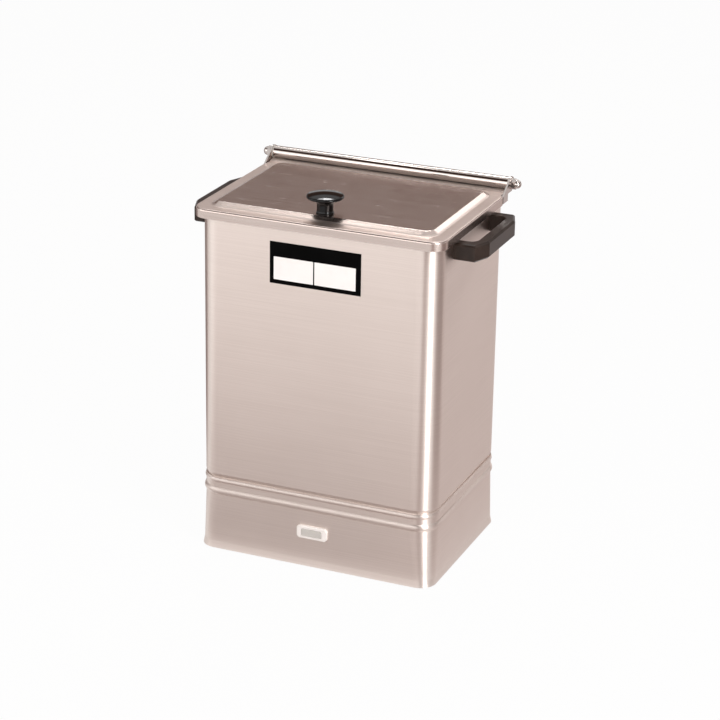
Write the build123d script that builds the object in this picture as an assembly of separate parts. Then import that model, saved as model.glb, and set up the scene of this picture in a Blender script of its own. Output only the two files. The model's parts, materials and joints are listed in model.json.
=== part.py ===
"""Counter-top hot pack heater: a hinged-lid stainless tank on a base that holds the heater.

Millimetres, +Z up, the origin on the resting surface under the middle of the tank.
The front is -Y and the lid's hinge runs along X at the rear.
"""
from build123d import *
import math
import os

# Sheet metal
SHEET = 1.2               # stainless sheet of the tank, the base skirt and the lid
BRACKET_SHEET = 1.5       # sheet of the brackets and the bottom cover
BEND = 1.5                # outside radius of the small bends

# Tank
TANK_HALF_X = 139.7       # outer face of the side walls
TANK_HALF_Y = 104.9       # outer face of the front and rear walls
TANK_CORNER = 25.0        # upright corner radius
FLOOR_Z = 64.0            # underside of the tank's floor
FLOOR_EDGE = 10.0         # outside radius between floor and wall
JOGGLE_TOP = 93.0         # the wall steps in below this height to enter the base skirt
JOGGLE_BOTTOM = 89.4
RIM_TOP = 400.5           # upper face of the turned-out rim
RIM_REACH = 3.5           # how far the rim stands out from the walls
RIM_CORNER = 17.0
RIM_LIP = 8.0             # depth of the rim's turned-down lip
LIP_LAND = 2.8            # flat of the rim that is bent together with its lip

# Base skirt
SKIRT_BOTTOM = 2.0
SKIRT_TOP = 88.6
BAND_BOTTOM = 66.0        # below this height the corners tighten towards the foot
FOOT_CORNER = 19.0        # corner radius at the skirt's lower edge
FLARE_Z = 10.0            # the skirt flares outwards below this height
FLARE = 1.2
BEADS = ((85.0, 2.4, 0.9), (72.3, 4.0, 1.8))   # rolled beads: height, half width, rise
LAP_GAP = 0.1             # clearance between the tank's lower wall and the skirt

# Lid
LID_TOP = 402.0           # upper face of the lid's flange
LID_GAP = 0.6             # between the rim and the lid's turned-down edge
LID_CORNER = 18.0
LID_SKIRT = 10.5          # depth of the turned-down edge
LID_BEND = 2.5
LID_LAND = 4.0            # flat of the lid that is bent together with its edge
NOTCH_INSET = 27.7        # the lid narrows this far before the hinge line, to pass between the ears
RAISE = 4.5               # height of the raised panel
RAISE_SLOPE = 7.0         # width of its sloping border
RAISE_SIDE = 13.5         # flat flange beside it, at the front and at both sides
RAISE_REAR = 20.2         # from the hinge line to the rear edge of the sloping border
RAISE_CORNER = 16.0
RAISE_SOFT = 3.0          # softening of the two bends of the slope
SLOPE_LAND = 2.0          # flat on each side of the slope

# Hinge
ROD_INSET = 2.7           # from the tank's rear face to the hinge line
TUBE_RADIUS = 7.2         # outside radius of the rolled tube
LEAF_DEPTH = 14.2         # reach of its leaf before the hinge line
CURL_OPEN = 48.0          # degrees left open where the curl comes back to the leaf
ROD_RADIUS = 3.0
RUNNING_GAP = 0.05        # radial clearance of turning fits
EAR_GAP = 1.0             # between the tube's end and a hinge bracket
EAR_SHEET = 2.0
EAR_RADIUS = 8.0
EAR_FRONT = 26.2          # the ears' lower edge, before the hinge line
EAR_REAR = 11.2
BUSH_LENGTH = 14.0
BUSH_FLANGE = 0.7
WASHER_RADIUS = 6.5
WASHER_THICK = 1.2
NUT_FLATS = 11.0          # cap nuts, across flats
NUT_HEX = 4.0             # length of their hexagon
NUT_DOME = 6.0            # height of their dome
NUT_STEP = 0.4            # step from the hexagon to the dome

# Lid knob
KNOB_INSET = 24.9         # from the tank's front face
KNOB_HEIGHT = 23.5
KNOB_CAP = 20.3           # cap radius
KNOB_CAP_BELOW = 4.5      # how far the widest line lies below the top
KNOB_RIM = 1.8            # rounding of the cap's edge
KNOB_NECK = 8.9           # smallest radius
KNOB_NECK_TOP = 9.2       # radius where the neck starts to spread
KNOB_WAIST = 0.30         # their places, as parts of the height
KNOB_SPREAD = 0.48
KNOB_FOOT = 9.8
KNOB_FOOT_EDGE = 1.5
KNOB_SCREW = 2.0          # screw radius
KNOB_SCREW_REACH = 12.0

# Carrying handles
HANDLE_Z = 378.5          # middle height
HANDLE_THICK = 19.0
HANDLE_HALF = 62.0        # outer face of the two arms, along Y
HANDLE_REACH = 32.5       # outer face of the grip bar, from the wall
HANDLE_BAR_HALF = 40.0    # half length of the grip bar's straight face
HANDLE_ELBOW = 8.2        # length of the elbow facet along X
HANDLE_ARM = 13.5         # arm width
HANDLE_GRIP = 12.5        # grip bar width
HANDLE_INNER_R = 9.0      # rounding inside the elbows
HANDLE_BEVEL = 2.2        # bevel of the outer edges
HANDLE_INNER_BEVEL = 1.0
HANDLE_SCREW = 2.5        # screw radius
HANDLE_SCREW_REACH = 15.0
HANDLE_HEAD = 4.5
SEAL_THICK = 1.0
SCREW_GAP = 0.05          # clearance of a screw in its thread hole
SCREW_END_GAP = 0.5       # space beyond its end in a blind hole
SEAL_BORDER = 1.0         # the seal washers reach this far beyond the screw heads

# Label and pilot light
LABEL_WIDTH = 105.5
LABEL_HEIGHT = 47.0
LABEL_Z = 352.5
LABEL_THICK = 0.5
PILOT_Z = 43.5
PILOT_WIDTH = 36.5
PILOT_HEIGHT = 15.3
PILOT_CORNER = 4.0
PILOT_PROUD = 3.0
PILOT_BODY_WIDTH = 29.2
PILOT_BODY_HEIGHT = 11.2
PILOT_BODY_DEPTH = 15.0
LENS_WIDTH = 24.4
LENS_HEIGHT = 8.4
LENS_THICK = 3.6
LENS_CORNER = 1.5
LENS_PROUD = 0.6
PILOT_SOFT = 1.4          # rounding of the bezel's front edge
PILOT_WALL = 1.5
LAMP_RADIUS = 2.6
LAMP_TAB = 3.0
LAMP_TAB_THICK = 0.8
LAMP_TAB_X = 6.0
LAMP_TAB_DEPTH = 20.9     # from the tank's front face to the ends of the lamp's tabs
LAMP_GAP = 1.0
PILOT_BODY_CORNER = 1.0
CLIP_CORNER = 2.0
CLIP_BORDER = 2.5
FIT_GAP = 0.15            # clearance of moulded pieces in their holes

# Bottom cover and feet
COVER_Z = 9.0             # underside of the cover
COVER_INSET = 2.5         # from the skirt's inner face
COVER_EDGE = 9.0          # height of the cover's turned-up edge
FOOT_INSET_X = 31.7       # from the tank's walls to the feet's centres
FOOT_INSET_Y = 28.9
FOOT_RADIUS = 11.0        # at the cover
FOOT_TREAD = 9.5          # radius at the ground
FOOT_RECESS = 4.8         # depth of the screw recess
SMALL_SCREW = 2.0         # radius of the cover and foot screws
SMALL_HEAD = 3.8
HEAD_THICK = 2.4
COVER_SCREW_X = 72.0
TAB_WIDTH = 22.0
TAB_DEPTH = 20.0
TAB_HEIGHT = 10.0
M4_FLATS = 7.0
M4_THICK = 3.2
SLOT_WIDTH = 1.2          # screwdriver slots
SLOT_DEPTH = 1.6
VENT_LENGTH = 30.0
VENT_WIDTH = 4.0
VENT_PITCH = 14.0
VENT_STEPS = 4            # slots on each side of the middle one
VENT_Y = 32.0
ACCESS_RADIUS = 5.0       # screwdriver hole under the thermostat

# Heating element
ELEMENT_RADIUS = 4.0
ELEMENT_INSET_X = 43.7    # from the tank's walls to the element's centre line
ELEMENT_INSET_Y = 44.9
ELEMENT_BEND = 22.0
COLD_END_X = 16.0
COLD_END_Y = 14.0
PIN_RADIUS = 1.5
PIN_LENGTH = 8.0
CLAMP_X = 60.0
CLAMP_WIDTH = 15.0
CLAMP_THICK = 2.0
STUD_RADIUS = 2.5
STUD_Y = 42.0
M5_FLATS = 8.0
M5_THICK = 4.0
STUD_TAIL = 2.0           # a stud stands this far out of its nut

# Thermostat
SHELF_Z = 22.0            # underside of the shelf brackets
THERMO_X = 72.0
THERMO_INSET = 32.9       # from the tank's front face
THERMO_WIDTH = 38.0
THERMO_DEPTH = 28.0
THERMO_HEIGHT = 20.0
SPINDLE_RADIUS = 3.0
SPINDLE_BOTTOM = 12.0
SPINDLE_LENGTH = 17.0
BUSHING_RADIUS = 4.5
BUSHING_LENGTH = 6.0
BULB_RADIUS = 3.2
BULB_HALF = 38.0
BULB_Y = -18.0
CAPILLARY_RADIUS = 0.9
CLIP_X = 24.0
CLIP_SHEET = 0.8
CLIP_WIDTH = 10.0
CLIP_EAR = 7.0
TAB_BLADE = 5.0           # width of the thermostat's tabs
TAB_REACH = 9.0
TAB_PITCH = 10.0
BUSHING_NUT = 3.0
BUSHING_NUT_FLATS = 14.0
SHELF_MARGIN = 4.0        # of the shelf brackets round what they carry
CAPILLARY_LANE = 8.0      # how far the tube runs beyond the bulb and below the clamps
CAPILLARY_INSET = 7.0     # where it enters the thermostat, from its left face
CAPILLARY_OFFSET = 6.0    # and behind its middle
SPINDLE_END_GAP = 0.5

# Terminals, gland and leads
BLOCK_X = -70.0
BLOCK_INSET = 26.9        # from the tank's rear face
BLOCK_WIDTH = 52.0
BLOCK_DEPTH = 20.0
BLOCK_HEIGHT = 17.0
POLE_PITCH = 12.0
EARTH_X = 20.0
EARTH_Z = 43.0
LUG_SHEET = 1.0
LUG_REACH = 15.0
LUG_BARREL = 1.9
WELL_DEPTH = 8.0
WELL_RADIUS = 3.0
ENTRY_DEPTH = 6.0
GLAND_X = -20.0
GLAND_Z = 30.0
GLAND_BORE = 4.2
GLAND_THREAD = 8.0
GLAND_FLANGE = 12.0
GLAND_PROUD = 4.5
GLAND_SHOULDER = 1.0
GLAND_NUT = 4.0
GLAND_NUT_FLATS = 20.0
GLAND_TAIL = 6.0          # the thread stands this far out of its nut
LEAD_RADIUS = 1.3
LEAD_BEND = 5.0
LEAD_RISE = 7.5           # height of the leads above the shelves
LINE_LANE = 43.0          # lanes of the leads, from the terminal block's entries
NEUTRAL_LANE = 61.0
EARTH_LANE = 19.0
EARTH_SIDE_LANE = 9.0     # and from the earth lug's barrel
ELEMENT_LANE = 19.0       # and from the thermostat's tabs
PILOT_LANE = 12.0
LAMP_LANE = 24.0          # and from the pilot lamp's tabs

# Pack rack
WIRE = 2.5                # wire radius of the lower frame
THIN_WIRE = 2.0           # radius of all the other wires
RACK_CLEAR_X = 10.2       # from the tank's walls to the wire centres of the lower frame
RACK_CLEAR_Y = 9.9
RACK_CORNER = 19.0
RACK_FOOT = 16.0          # height of the lower frame above the floor
RACK_FOOT_Y = 70.0
RACK_HEIGHT = 217.0       # from the lower frame to the hoops' tops
UPPER_DROP = 30.0         # the upper frame lies this far below the hoops' tops
SLOTS = 4
HOOP_BEND = 14.0
FLOOR_WIRES = 5
FLOOR_WIRE_PITCH = 46.0
LIFT_HALF = 26.0
LIFT_HEIGHT = 72.0        # of the lifting loops above the upper frame
LIFT_BEND = 10.0
WELD_GAP = 0.04           # wires meet at this distance

LID_HALF_X = TANK_HALF_X + RIM_REACH + LID_GAP + SHEET
LID_FRONT = TANK_HALF_Y + RIM_REACH + LID_GAP + SHEET
ROD_Y = TANK_HALF_Y - ROD_INSET
LID_NOTCH_Y = ROD_Y - NOTCH_INSET
RAISE_REAR_Y = ROD_Y - RAISE_REAR
EAR_INNER_X = TANK_HALF_X + RIM_REACH
HINGE_HALF = EAR_INNER_X - EAR_GAP
EAR_FRONT_Y = ROD_Y - EAR_FRONT
EAR_REAR_Y = ROD_Y - EAR_REAR
KNOB_Y = KNOB_INSET - TANK_HALF_Y
HANDLE_BAR_X = TANK_HALF_X + HANDLE_REACH
HANDLE_ELBOW_X = HANDLE_BAR_X - HANDLE_ELBOW
LAMP_TAB_END = LAMP_TAB_DEPTH - TANK_HALF_Y
FOOT_X = TANK_HALF_X - FOOT_INSET_X
FOOT_Y = TANK_HALF_Y - FOOT_INSET_Y
ELEMENT_HALF_X = TANK_HALF_X - ELEMENT_INSET_X
ELEMENT_HALF_Y = TANK_HALF_Y - ELEMENT_INSET_Y
THERMO_Y = THERMO_INSET - TANK_HALF_Y
BLOCK_Y = TANK_HALF_Y - BLOCK_INSET
RACK_HALF_X = TANK_HALF_X - RACK_CLEAR_X
RACK_HALF_Y = TANK_HALF_Y - RACK_CLEAR_Y
FLOOR_TOP = FLOOR_Z + SHEET
STEP_IN = SHEET + LAP_GAP
ROD_Z = LID_TOP + TUBE_RADIUS
KNOB_BASE = LID_TOP + RAISE
EAR_OUTER_X = EAR_INNER_X + EAR_SHEET
NUT_X = EAR_OUTER_X + WASHER_THICK
SKIRT_INNER_Y = TANK_HALF_Y - SHEET
COVER_TOP = COVER_Z + BRACKET_SHEET
SHELF_TOP = SHELF_Z + BRACKET_SHEET
CLAMP_TOP = FLOOR_Z - 2 * ELEMENT_RADIUS - 2 * LAP_GAP
ELEMENT_Z = FLOOR_Z - LAP_GAP - ELEMENT_RADIUS
BULB_Z = FLOOR_Z - LAP_GAP - BULB_RADIUS
LEAD_Z = SHELF_TOP + LEAD_RISE
SLOT_PITCH = 2 * RACK_HALF_Y / SLOTS
LOWER_FRAME_Z = FLOOR_TOP + RACK_FOOT
RACK_TOP = LOWER_FRAME_Z + RACK_HEIGHT
UPPER_FRAME_Z = RACK_TOP - UPPER_DROP
LIFT_TOP = UPPER_FRAME_Z + LIFT_HEIGHT


def save(node, *shapes):
    """Write one sub-part; several shapes become a group of separate solids."""
    solids = [solid for shape in shapes for solid in shape.solids()]
    export_step(Compound(children=solids), f"parts/{node}.step")


def outline(points, radii):
    """Closed outline through the points, each corner rounded by its own radius."""
    return make_face(FilletPolyline(*points, radius=radii, close=True))


def upright(points, radii):
    """The same outline standing in the XZ plane."""
    return Plane.XZ * outline(points, radii)


def plate(half_x, half_y, corner, bottom, top, centre_y=0.0):
    """Flat plate with round corners between two heights."""
    shape = extrude(RectangleRounded(2 * half_x, 2 * half_y, corner), amount=top - bottom)
    return Pos(0, centre_y, bottom) * shape


def wall_loop(section, half_x, half_y, corner):
    """Carry an upright section round a rounded rectangle.

    The section's X is the distance outwards from the rectangle and its Z is the real height.
    """
    elbow = revolve(Pos(corner, 0, 0) * section, axis=Axis.Z, revolution_arc=90)
    pieces = []
    for turn in range(4):
        reach, length = (half_x, half_y) if turn % 2 == 0 else (half_y, half_x)
        run = length - corner
        side = extrude(Pos(reach, -run, 0) * section, amount=2 * run, dir=(0, 1, 0))
        bend = Pos(reach - corner, run, 0) * elbow
        pieces += [Rot(0, 0, 90 * turn) * side, Rot(0, 0, 90 * turn) * bend]
    return Part() + pieces


def bar(direction, radius, start, length):
    """Round bar from a point along one direction."""
    return extrude(Plane(start, z_dir=direction) * Circle(radius), amount=length, dir=direction)


def hexagon(direction, flats, start, length):
    """Hexagonal bar from a point along one direction."""
    face = Plane(start, z_dir=direction) * RegularPolygon(flats / 2, 6, major_radius=False)
    return extrude(face, amount=length, dir=direction)


def wire(points, radius, bend):
    """Round wire along straight runs joined by equal bends."""
    path = FilletPolyline(*points, radius=bend)
    section = Plane(path @ 0, z_dir=path % 0) * Circle(radius)
    return sweep(section, path=path)


# Tank and base

def tank_wall_section():
    """Side wall with its inward step, floor bend and the start of the rim."""
    inner = -SHEET
    edge = -STEP_IN - FLOOR_EDGE
    points = [
        (edge, FLOOR_Z), (-STEP_IN, FLOOR_Z), (-STEP_IN, JOGGLE_BOTTOM), (0, JOGGLE_TOP),
        (0, RIM_TOP), (inner, RIM_TOP), (inner, JOGGLE_TOP), (inner - STEP_IN, JOGGLE_BOTTOM),
        (inner - STEP_IN, FLOOR_TOP), (edge, FLOOR_TOP),
    ]
    radii = [0, FLOOR_EDGE, BEND, BEND, 0, SHEET / 2, BEND, BEND, FLOOR_EDGE - SHEET, 0]
    return upright(points, radii)


def edge_section(top, depth, land, bend):
    """Flat sheet turned down at its outer edge."""
    points = [
        (0, top - depth), (0, top), (-land, top),
        (-land, top - SHEET), (-SHEET, top - SHEET), (-SHEET, top - depth),
    ]
    return upright(points, [0, bend, 0, 0, bend - SHEET, 0])


def handle_screw_places():
    """Middle of each handle arm, as offsets along Y."""
    return [side * (HANDLE_HALF - HANDLE_ARM / 2) for side in (-1, 1)]


def tank():
    """Drawn sheet tank with a stepped-in lower wall and a turned-out rim."""
    rim_x = TANK_HALF_X + RIM_REACH
    rim_y = TANK_HALF_Y + RIM_REACH
    wall = wall_loop(tank_wall_section(), TANK_HALF_X, TANK_HALF_Y, TANK_CORNER)
    edge = STEP_IN + FLOOR_EDGE
    floor = plate(TANK_HALF_X - edge, TANK_HALF_Y - edge, TANK_CORNER - edge, FLOOR_Z, FLOOR_TOP)
    ledge = plate(rim_x - LIP_LAND, rim_y - LIP_LAND, RIM_CORNER - LIP_LAND, RIM_TOP - SHEET, RIM_TOP)
    ledge -= plate(TANK_HALF_X, TANK_HALF_Y, TANK_CORNER, RIM_TOP - 2 * SHEET, RIM_TOP + SHEET)
    lip_section = edge_section(RIM_TOP, RIM_LIP, LIP_LAND, BEND)
    lip = wall_loop(lip_section, rim_x, rim_y, RIM_CORNER)
    shell = Part() + [wall, floor, ledge, lip]
    for place in handle_screw_places():
        start = (-TANK_HALF_X - SHEET, place, HANDLE_Z)
        shell -= bar((1, 0, 0), HANDLE_SCREW + SCREW_GAP, start, 2 * (TANK_HALF_X + SHEET))
    return shell


def bead_band_section():
    """Upper band of the skirt with its two rolled beads."""
    outer = [Vector(0, BAND_BOTTOM)]
    inner = [Vector(-SHEET, BAND_BOTTOM)]
    edges = []
    for height, half, rise in sorted(BEADS):
        for line, base in ((outer, 0), (inner, -SHEET)):
            low, high = Vector(base, height - half), Vector(base, height + half)
            edges.append(Edge.make_line(line[-1], low))
            edges.append(ThreePointArc(low, (base + rise, height), high).edge())
            line.append(high)
    for line, base in ((outer, 0), (inner, -SHEET)):
        edges.append(Edge.make_line(line[-1], Vector(base, SKIRT_TOP)))
    for height in (BAND_BOTTOM, SKIRT_TOP):
        edges.append(Edge.make_line((-SHEET, height), (0, height)))
    return Plane.XZ * make_face(edges)


def skirt_foot(inset):
    """Solid of the skirt's lower part, drawn in by an inset."""
    levels = ((BAND_BOTTOM, 0, TANK_CORNER), (FLARE_Z, 0, FOOT_CORNER), (SKIRT_BOTTOM, FLARE, FOOT_CORNER))
    sections = []
    for height, grow, corner in levels:
        width = 2 * (TANK_HALF_X + grow - inset)
        depth = 2 * (TANK_HALF_Y + grow - inset)
        sections.append(Pos(0, 0, height) * RectangleRounded(width, depth, corner - inset))
    return loft(sections[:2], ruled=True) + loft(sections[1:], ruled=True)


def base_skirt():
    """Base skirt: beaded band above, tightening corners and a slight flare below."""
    shell = wall_loop(bead_band_section(), TANK_HALF_X, TANK_HALF_Y, TANK_CORNER)
    shell += skirt_foot(0) - skirt_foot(SHEET)
    hole = Box(PILOT_BODY_WIDTH + 2 * FIT_GAP, 4 * SHEET, PILOT_BODY_HEIGHT + 2 * FIT_GAP)
    shell -= Pos(0, -TANK_HALF_Y, PILOT_Z) * hole
    start = (GLAND_X, SKIRT_INNER_Y - SHEET, GLAND_Z)
    return shell - bar((0, 1, 0), GLAND_THREAD + SCREW_GAP, start, 4 * SHEET)


# Bottom cover and feet

def foot_places():
    """Centres of the four feet."""
    return [(x, y) for x in (-FOOT_X, FOOT_X) for y in (-FOOT_Y, FOOT_Y)]


def cover_screw_places():
    """Centres of the cover screws, in the middle of each tab's ledge."""
    reach = SKIRT_INNER_Y - TAB_DEPTH / 2
    return [(x, y) for x in (-COVER_SCREW_X, COVER_SCREW_X) for y in (-reach, reach)]


def bottom_cover():
    """Tray-shaped cover with vent slots, screw holes and the thermostat's access hole."""
    half_x = TANK_HALF_X - SHEET - COVER_INSET
    half_y = TANK_HALF_Y - SHEET - COVER_INSET
    corner = FOOT_CORNER - SHEET - COVER_INSET / 2
    wall = BRACKET_SHEET
    tray = plate(half_x, half_y, corner, COVER_Z, COVER_Z + COVER_EDGE)
    tray -= plate(half_x - wall, half_y - wall, corner - wall, COVER_TOP, COVER_Z + 2 * COVER_EDGE)
    notch = Box(TAB_WIDTH + 2 * COVER_INSET, 4 * COVER_INSET, COVER_EDGE)
    for x, y in cover_screw_places():
        tray -= Pos(x, math.copysign(half_y, y), COVER_TOP + COVER_EDGE / 2) * notch
    for x, y in foot_places() + cover_screw_places():
        tray -= bar((0, 0, 1), SMALL_SCREW + SCREW_GAP, (x, y, 0), 2 * COVER_Z)
    tray -= bar((0, 0, 1), ACCESS_RADIUS, (THERMO_X, THERMO_Y, 0), 2 * COVER_Z)
    slot = extrude(SlotOverall(VENT_LENGTH, VENT_WIDTH, rotation=90), amount=2 * COVER_Z)
    steps = range(-VENT_STEPS, VENT_STEPS + 1)
    return tray - [Pos(VENT_PITCH * step, side * VENT_Y, 0) * slot for step in steps for side in (-1, 1)]


def cover_tabs():
    """Four angle tabs welded inside the skirt, which the cover screws into."""
    tabs = []
    for x, y in cover_screw_places():
        ledge = Pos(0, 0, BRACKET_SHEET / 2) * Box(TAB_WIDTH, TAB_DEPTH, BRACKET_SHEET)
        leg_y = math.copysign(TAB_DEPTH / 2 - BRACKET_SHEET / 2, y)
        leg = Pos(0, leg_y, TAB_HEIGHT / 2) * Box(TAB_WIDTH, BRACKET_SHEET, TAB_HEIGHT)
        tab = ledge + leg - Cylinder(SMALL_SCREW + SCREW_GAP, TAB_HEIGHT)
        tabs.append(Pos(x, y, COVER_TOP) * tab)
    return tabs


def foot(x, y):
    """Tapered rubber foot with a deep recess for its screw."""
    cone = Solid.make_cone(FOOT_TREAD, FOOT_RADIUS, COVER_Z)
    cone -= Pos(0, 0, FOOT_RECESS / 2) * Cylinder(SMALL_HEAD + 2 * FIT_GAP, FOOT_RECESS)
    cone -= Cylinder(SMALL_SCREW + SCREW_GAP, 4 * COVER_Z)
    return Pos(x, y, 0) * cone


def pan_screw(radius, head_radius, head, length):
    """Pan-head screw standing on its head's underside, its shank along +Z."""
    cap = Pos(0, 0, -head / 2) * Cylinder(head_radius, head)
    cap = fillet(cap.edges().group_by(Axis.Z)[0], head / 3)
    slot = Pos(0, 0, -head) * Box(3 * head_radius, SLOT_WIDTH, head)
    return cap - slot + Pos(0, 0, length / 2) * Cylinder(radius, length)


def foot_screws():
    """Screws through the feet and the cover."""
    length = COVER_TOP - FOOT_RECESS + M4_THICK + BRACKET_SHEET
    screw = pan_screw(SMALL_SCREW, SMALL_HEAD, HEAD_THICK, length)
    return [Pos(x, y, FOOT_RECESS) * screw for x, y in foot_places()]


def nut(direction, flats, thick, bore, start):
    """Hexagon nut whose seat lies at the start point."""
    return hexagon(direction, flats, start, thick) - bar(direction, bore, start, thick)


def foot_nuts():
    """Nuts of the foot screws, on top of the cover."""
    bore = SMALL_SCREW + SCREW_GAP
    return [nut((0, 0, 1), M4_FLATS, M4_THICK, bore, (x, y, COVER_TOP)) for x, y in foot_places()]


def cover_screws():
    """Screws through the cover into its tabs."""
    screw = pan_screw(SMALL_SCREW, SMALL_HEAD, HEAD_THICK, 4 * BRACKET_SHEET)
    return [Pos(x, y, COVER_Z) * screw for x, y in cover_screw_places()]


# Handles, label and pilot light

def is_outer(edge):
    """Whether a handle edge runs along the outside of the bail."""
    middle = edge.position_at(0.5)
    return abs(middle.Y) > HANDLE_HALF - HANDLE_BEVEL or middle.X > HANDLE_ELBOW_X


def is_inner(edge):
    """Whether a handle edge runs round the finger gap."""
    return not is_outer(edge) and edge.position_at(0.5).X > TANK_HALF_X + HANDLE_BEVEL


def handle():
    """Right-hand bail: two arms, faceted elbows and a grip bar, moulded in one piece."""
    wall = TANK_HALF_X
    inner_y = HANDLE_HALF - HANDLE_ARM
    inner_x = HANDLE_BAR_X - HANDLE_GRIP
    half = [
        (wall, HANDLE_HALF), (HANDLE_ELBOW_X, HANDLE_HALF), (HANDLE_BAR_X, HANDLE_BAR_HALF),
    ]
    inside = [(wall, inner_y), (inner_x, inner_y)]
    points = half + [(x, -y) for x, y in reversed(half)]
    points += [(x, -y) for x, y in inside] + [(x, y) for x, y in reversed(inside)]
    radii = [0, 0, 0, 0, 0, 0, 0, HANDLE_INNER_R, HANDLE_INNER_R, 0]
    bail = Pos(0, 0, HANDLE_Z - HANDLE_THICK / 2) * extrude(outline(points, radii), amount=HANDLE_THICK)
    levels = bail.edges().group_by(Axis.Z)
    bail = chamfer([edge for edge in levels[0] + levels[-1] if is_outer(edge)], HANDLE_BEVEL)
    levels = bail.edges().group_by(Axis.Z)
    bail = chamfer([edge for edge in levels[0] + levels[-1] if is_inner(edge)], HANDLE_INNER_BEVEL)
    for place in handle_screw_places():
        start = (wall, place, HANDLE_Z)
        bail -= bar((1, 0, 0), HANDLE_SCREW + SCREW_GAP, start, HANDLE_SCREW_REACH)
    return bail


def handle_fixings():
    """Screws and sealing washers of the right-hand handle, inside the tank."""
    inside = TANK_HALF_X - SHEET
    length = SEAL_THICK + SHEET + HANDLE_SCREW_REACH - SCREW_END_GAP
    screw = pan_screw(HANDLE_SCREW, HANDLE_HEAD, HEAD_THICK, length)
    ring = Cylinder(HANDLE_HEAD + SEAL_BORDER, SEAL_THICK) - Cylinder(HANDLE_SCREW + SCREW_GAP, SEAL_THICK)
    screws = []
    seals = []
    for place in handle_screw_places():
        screws.append(Pos(inside - SEAL_THICK, place, HANDLE_Z) * (Rot(0, 90, 0) * screw))
        seals.append(Pos(inside - SEAL_THICK / 2, place, HANDLE_Z) * (Rot(0, 90, 0) * ring))
    return screws, seals


def label_plate():
    """Blank plate on the front wall."""
    middle = -TANK_HALF_Y - LABEL_THICK / 2
    return Pos(0, middle, LABEL_Z) * Box(LABEL_WIDTH, LABEL_THICK, LABEL_HEIGHT)


def front_block(width, height, corner, front, back):
    """Block with round corners as seen from the front, between two depths along Y."""
    face = Pos(0, front, PILOT_Z) * (Plane.XZ * RectangleRounded(width, height, corner))
    return extrude(face, amount=back - front, dir=(0, 1, 0))


def pilot_bezel():
    """Moulded pilot housing: a soft front frame and a hollow body through the skirt."""
    front = -TANK_HALF_Y - PILOT_PROUD
    back = -TANK_HALF_Y + PILOT_BODY_DEPTH
    frame = front_block(PILOT_WIDTH, PILOT_HEIGHT, PILOT_CORNER, front, -TANK_HALF_Y)
    frame = fillet(frame.edges().group_by(Axis.Y)[0], PILOT_SOFT)
    body = front_block(PILOT_BODY_WIDTH, PILOT_BODY_HEIGHT, PILOT_BODY_CORNER, -TANK_HALF_Y, back)
    width = LENS_WIDTH + 2 * FIT_GAP
    height = LENS_HEIGHT + 2 * FIT_GAP
    hollow = front_block(width, height, LENS_CORNER + FIT_GAP, 2 * front, back - PILOT_WALL)
    slot = Box(LAMP_TAB + 2 * FIT_GAP, 2 * PILOT_BODY_DEPTH, 2 * LAMP_TAB_THICK)
    slots = [Pos(side * LAMP_TAB_X, back, PILOT_Z) * slot for side in (-1, 1)]
    return frame + body - hollow - slots


def pilot_lens():
    """Clear lens, slightly crowned by its rounded front edges."""
    front = -TANK_HALF_Y - PILOT_PROUD - LENS_PROUD
    lens = front_block(LENS_WIDTH, LENS_HEIGHT, LENS_CORNER, front, front + LENS_THICK)
    return fillet(lens.edges().group_by(Axis.Y)[0], LENS_PROUD)


def pilot_lamp():
    """Neon lamp behind the lens with its two tabs."""
    back = -TANK_HALF_Y + PILOT_BODY_DEPTH
    middle = back - PILOT_WALL - LAMP_RADIUS - LAMP_GAP
    length = 2 * (LAMP_TAB_X + LAMP_GAP)
    lamp = bar((1, 0, 0), LAMP_RADIUS, (-length / 2, middle, PILOT_Z), length)
    reach = LAMP_TAB_END - middle
    tab = Box(LAMP_TAB, reach, LAMP_TAB_THICK)
    tabs = [Pos(side * LAMP_TAB_X, middle + reach / 2, PILOT_Z) * tab for side in (-1, 1)]
    return Part() + [lamp] + tabs


def pilot_clip():
    """Spring frame that holds the pilot housing behind the skirt."""
    front = -SKIRT_INNER_Y
    width = PILOT_BODY_WIDTH + 2 * CLIP_BORDER
    height = PILOT_BODY_HEIGHT + 2 * CLIP_BORDER
    clip = front_block(width, height, CLIP_CORNER, front, front + CLIP_SHEET)
    hole = Box(PILOT_BODY_WIDTH + FIT_GAP, 4 * CLIP_SHEET, PILOT_BODY_HEIGHT + FIT_GAP)
    hole = Pos(0, front, PILOT_Z) * hole
    return clip - hole


# Hinge and lid

def hinge_bracket():
    """Right-hand ear: a plate welded to the rim's lip that rises round the rod."""
    foot_z = RIM_TOP - RIM_LIP
    base = Pos((EAR_FRONT_Y + EAR_REAR_Y) / 2, foot_z + RIM_LIP / 2)
    base *= Rectangle(EAR_REAR_Y - EAR_FRONT_Y, RIM_LIP)
    disc = Pos(ROD_Y, ROD_Z) * Circle(EAR_RADIUS)
    shape = make_hull((base + disc).edges())
    behind = Pos(EAR_REAR_Y + RIM_LIP, RIM_TOP - RIM_LIP) * Rectangle(2 * RIM_LIP, 2 * RIM_LIP)
    shape -= behind
    shape -= Pos(ROD_Y, ROD_Z) * Circle(ROD_RADIUS + RUNNING_GAP)
    return extrude(Pos(EAR_INNER_X, 0, 0) * (Plane.YZ * shape), amount=EAR_SHEET, dir=(1, 0, 0))


def hinge_rod():
    """Fixed rod through both ears, its ends held by the cap nuts."""
    half = NUT_X + NUT_HEX
    return bar((1, 0, 0), ROD_RADIUS, (-half, ROD_Y, ROD_Z), 2 * half)


def hinge_washer():
    """Washer between the right ear and its cap nut."""
    ring = Cylinder(WASHER_RADIUS, WASHER_THICK) - Cylinder(ROD_RADIUS + RUNNING_GAP, WASHER_THICK)
    return Pos(EAR_OUTER_X + WASHER_THICK / 2, ROD_Y, ROD_Z) * (Rot(0, 90, 0) * ring)


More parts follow.
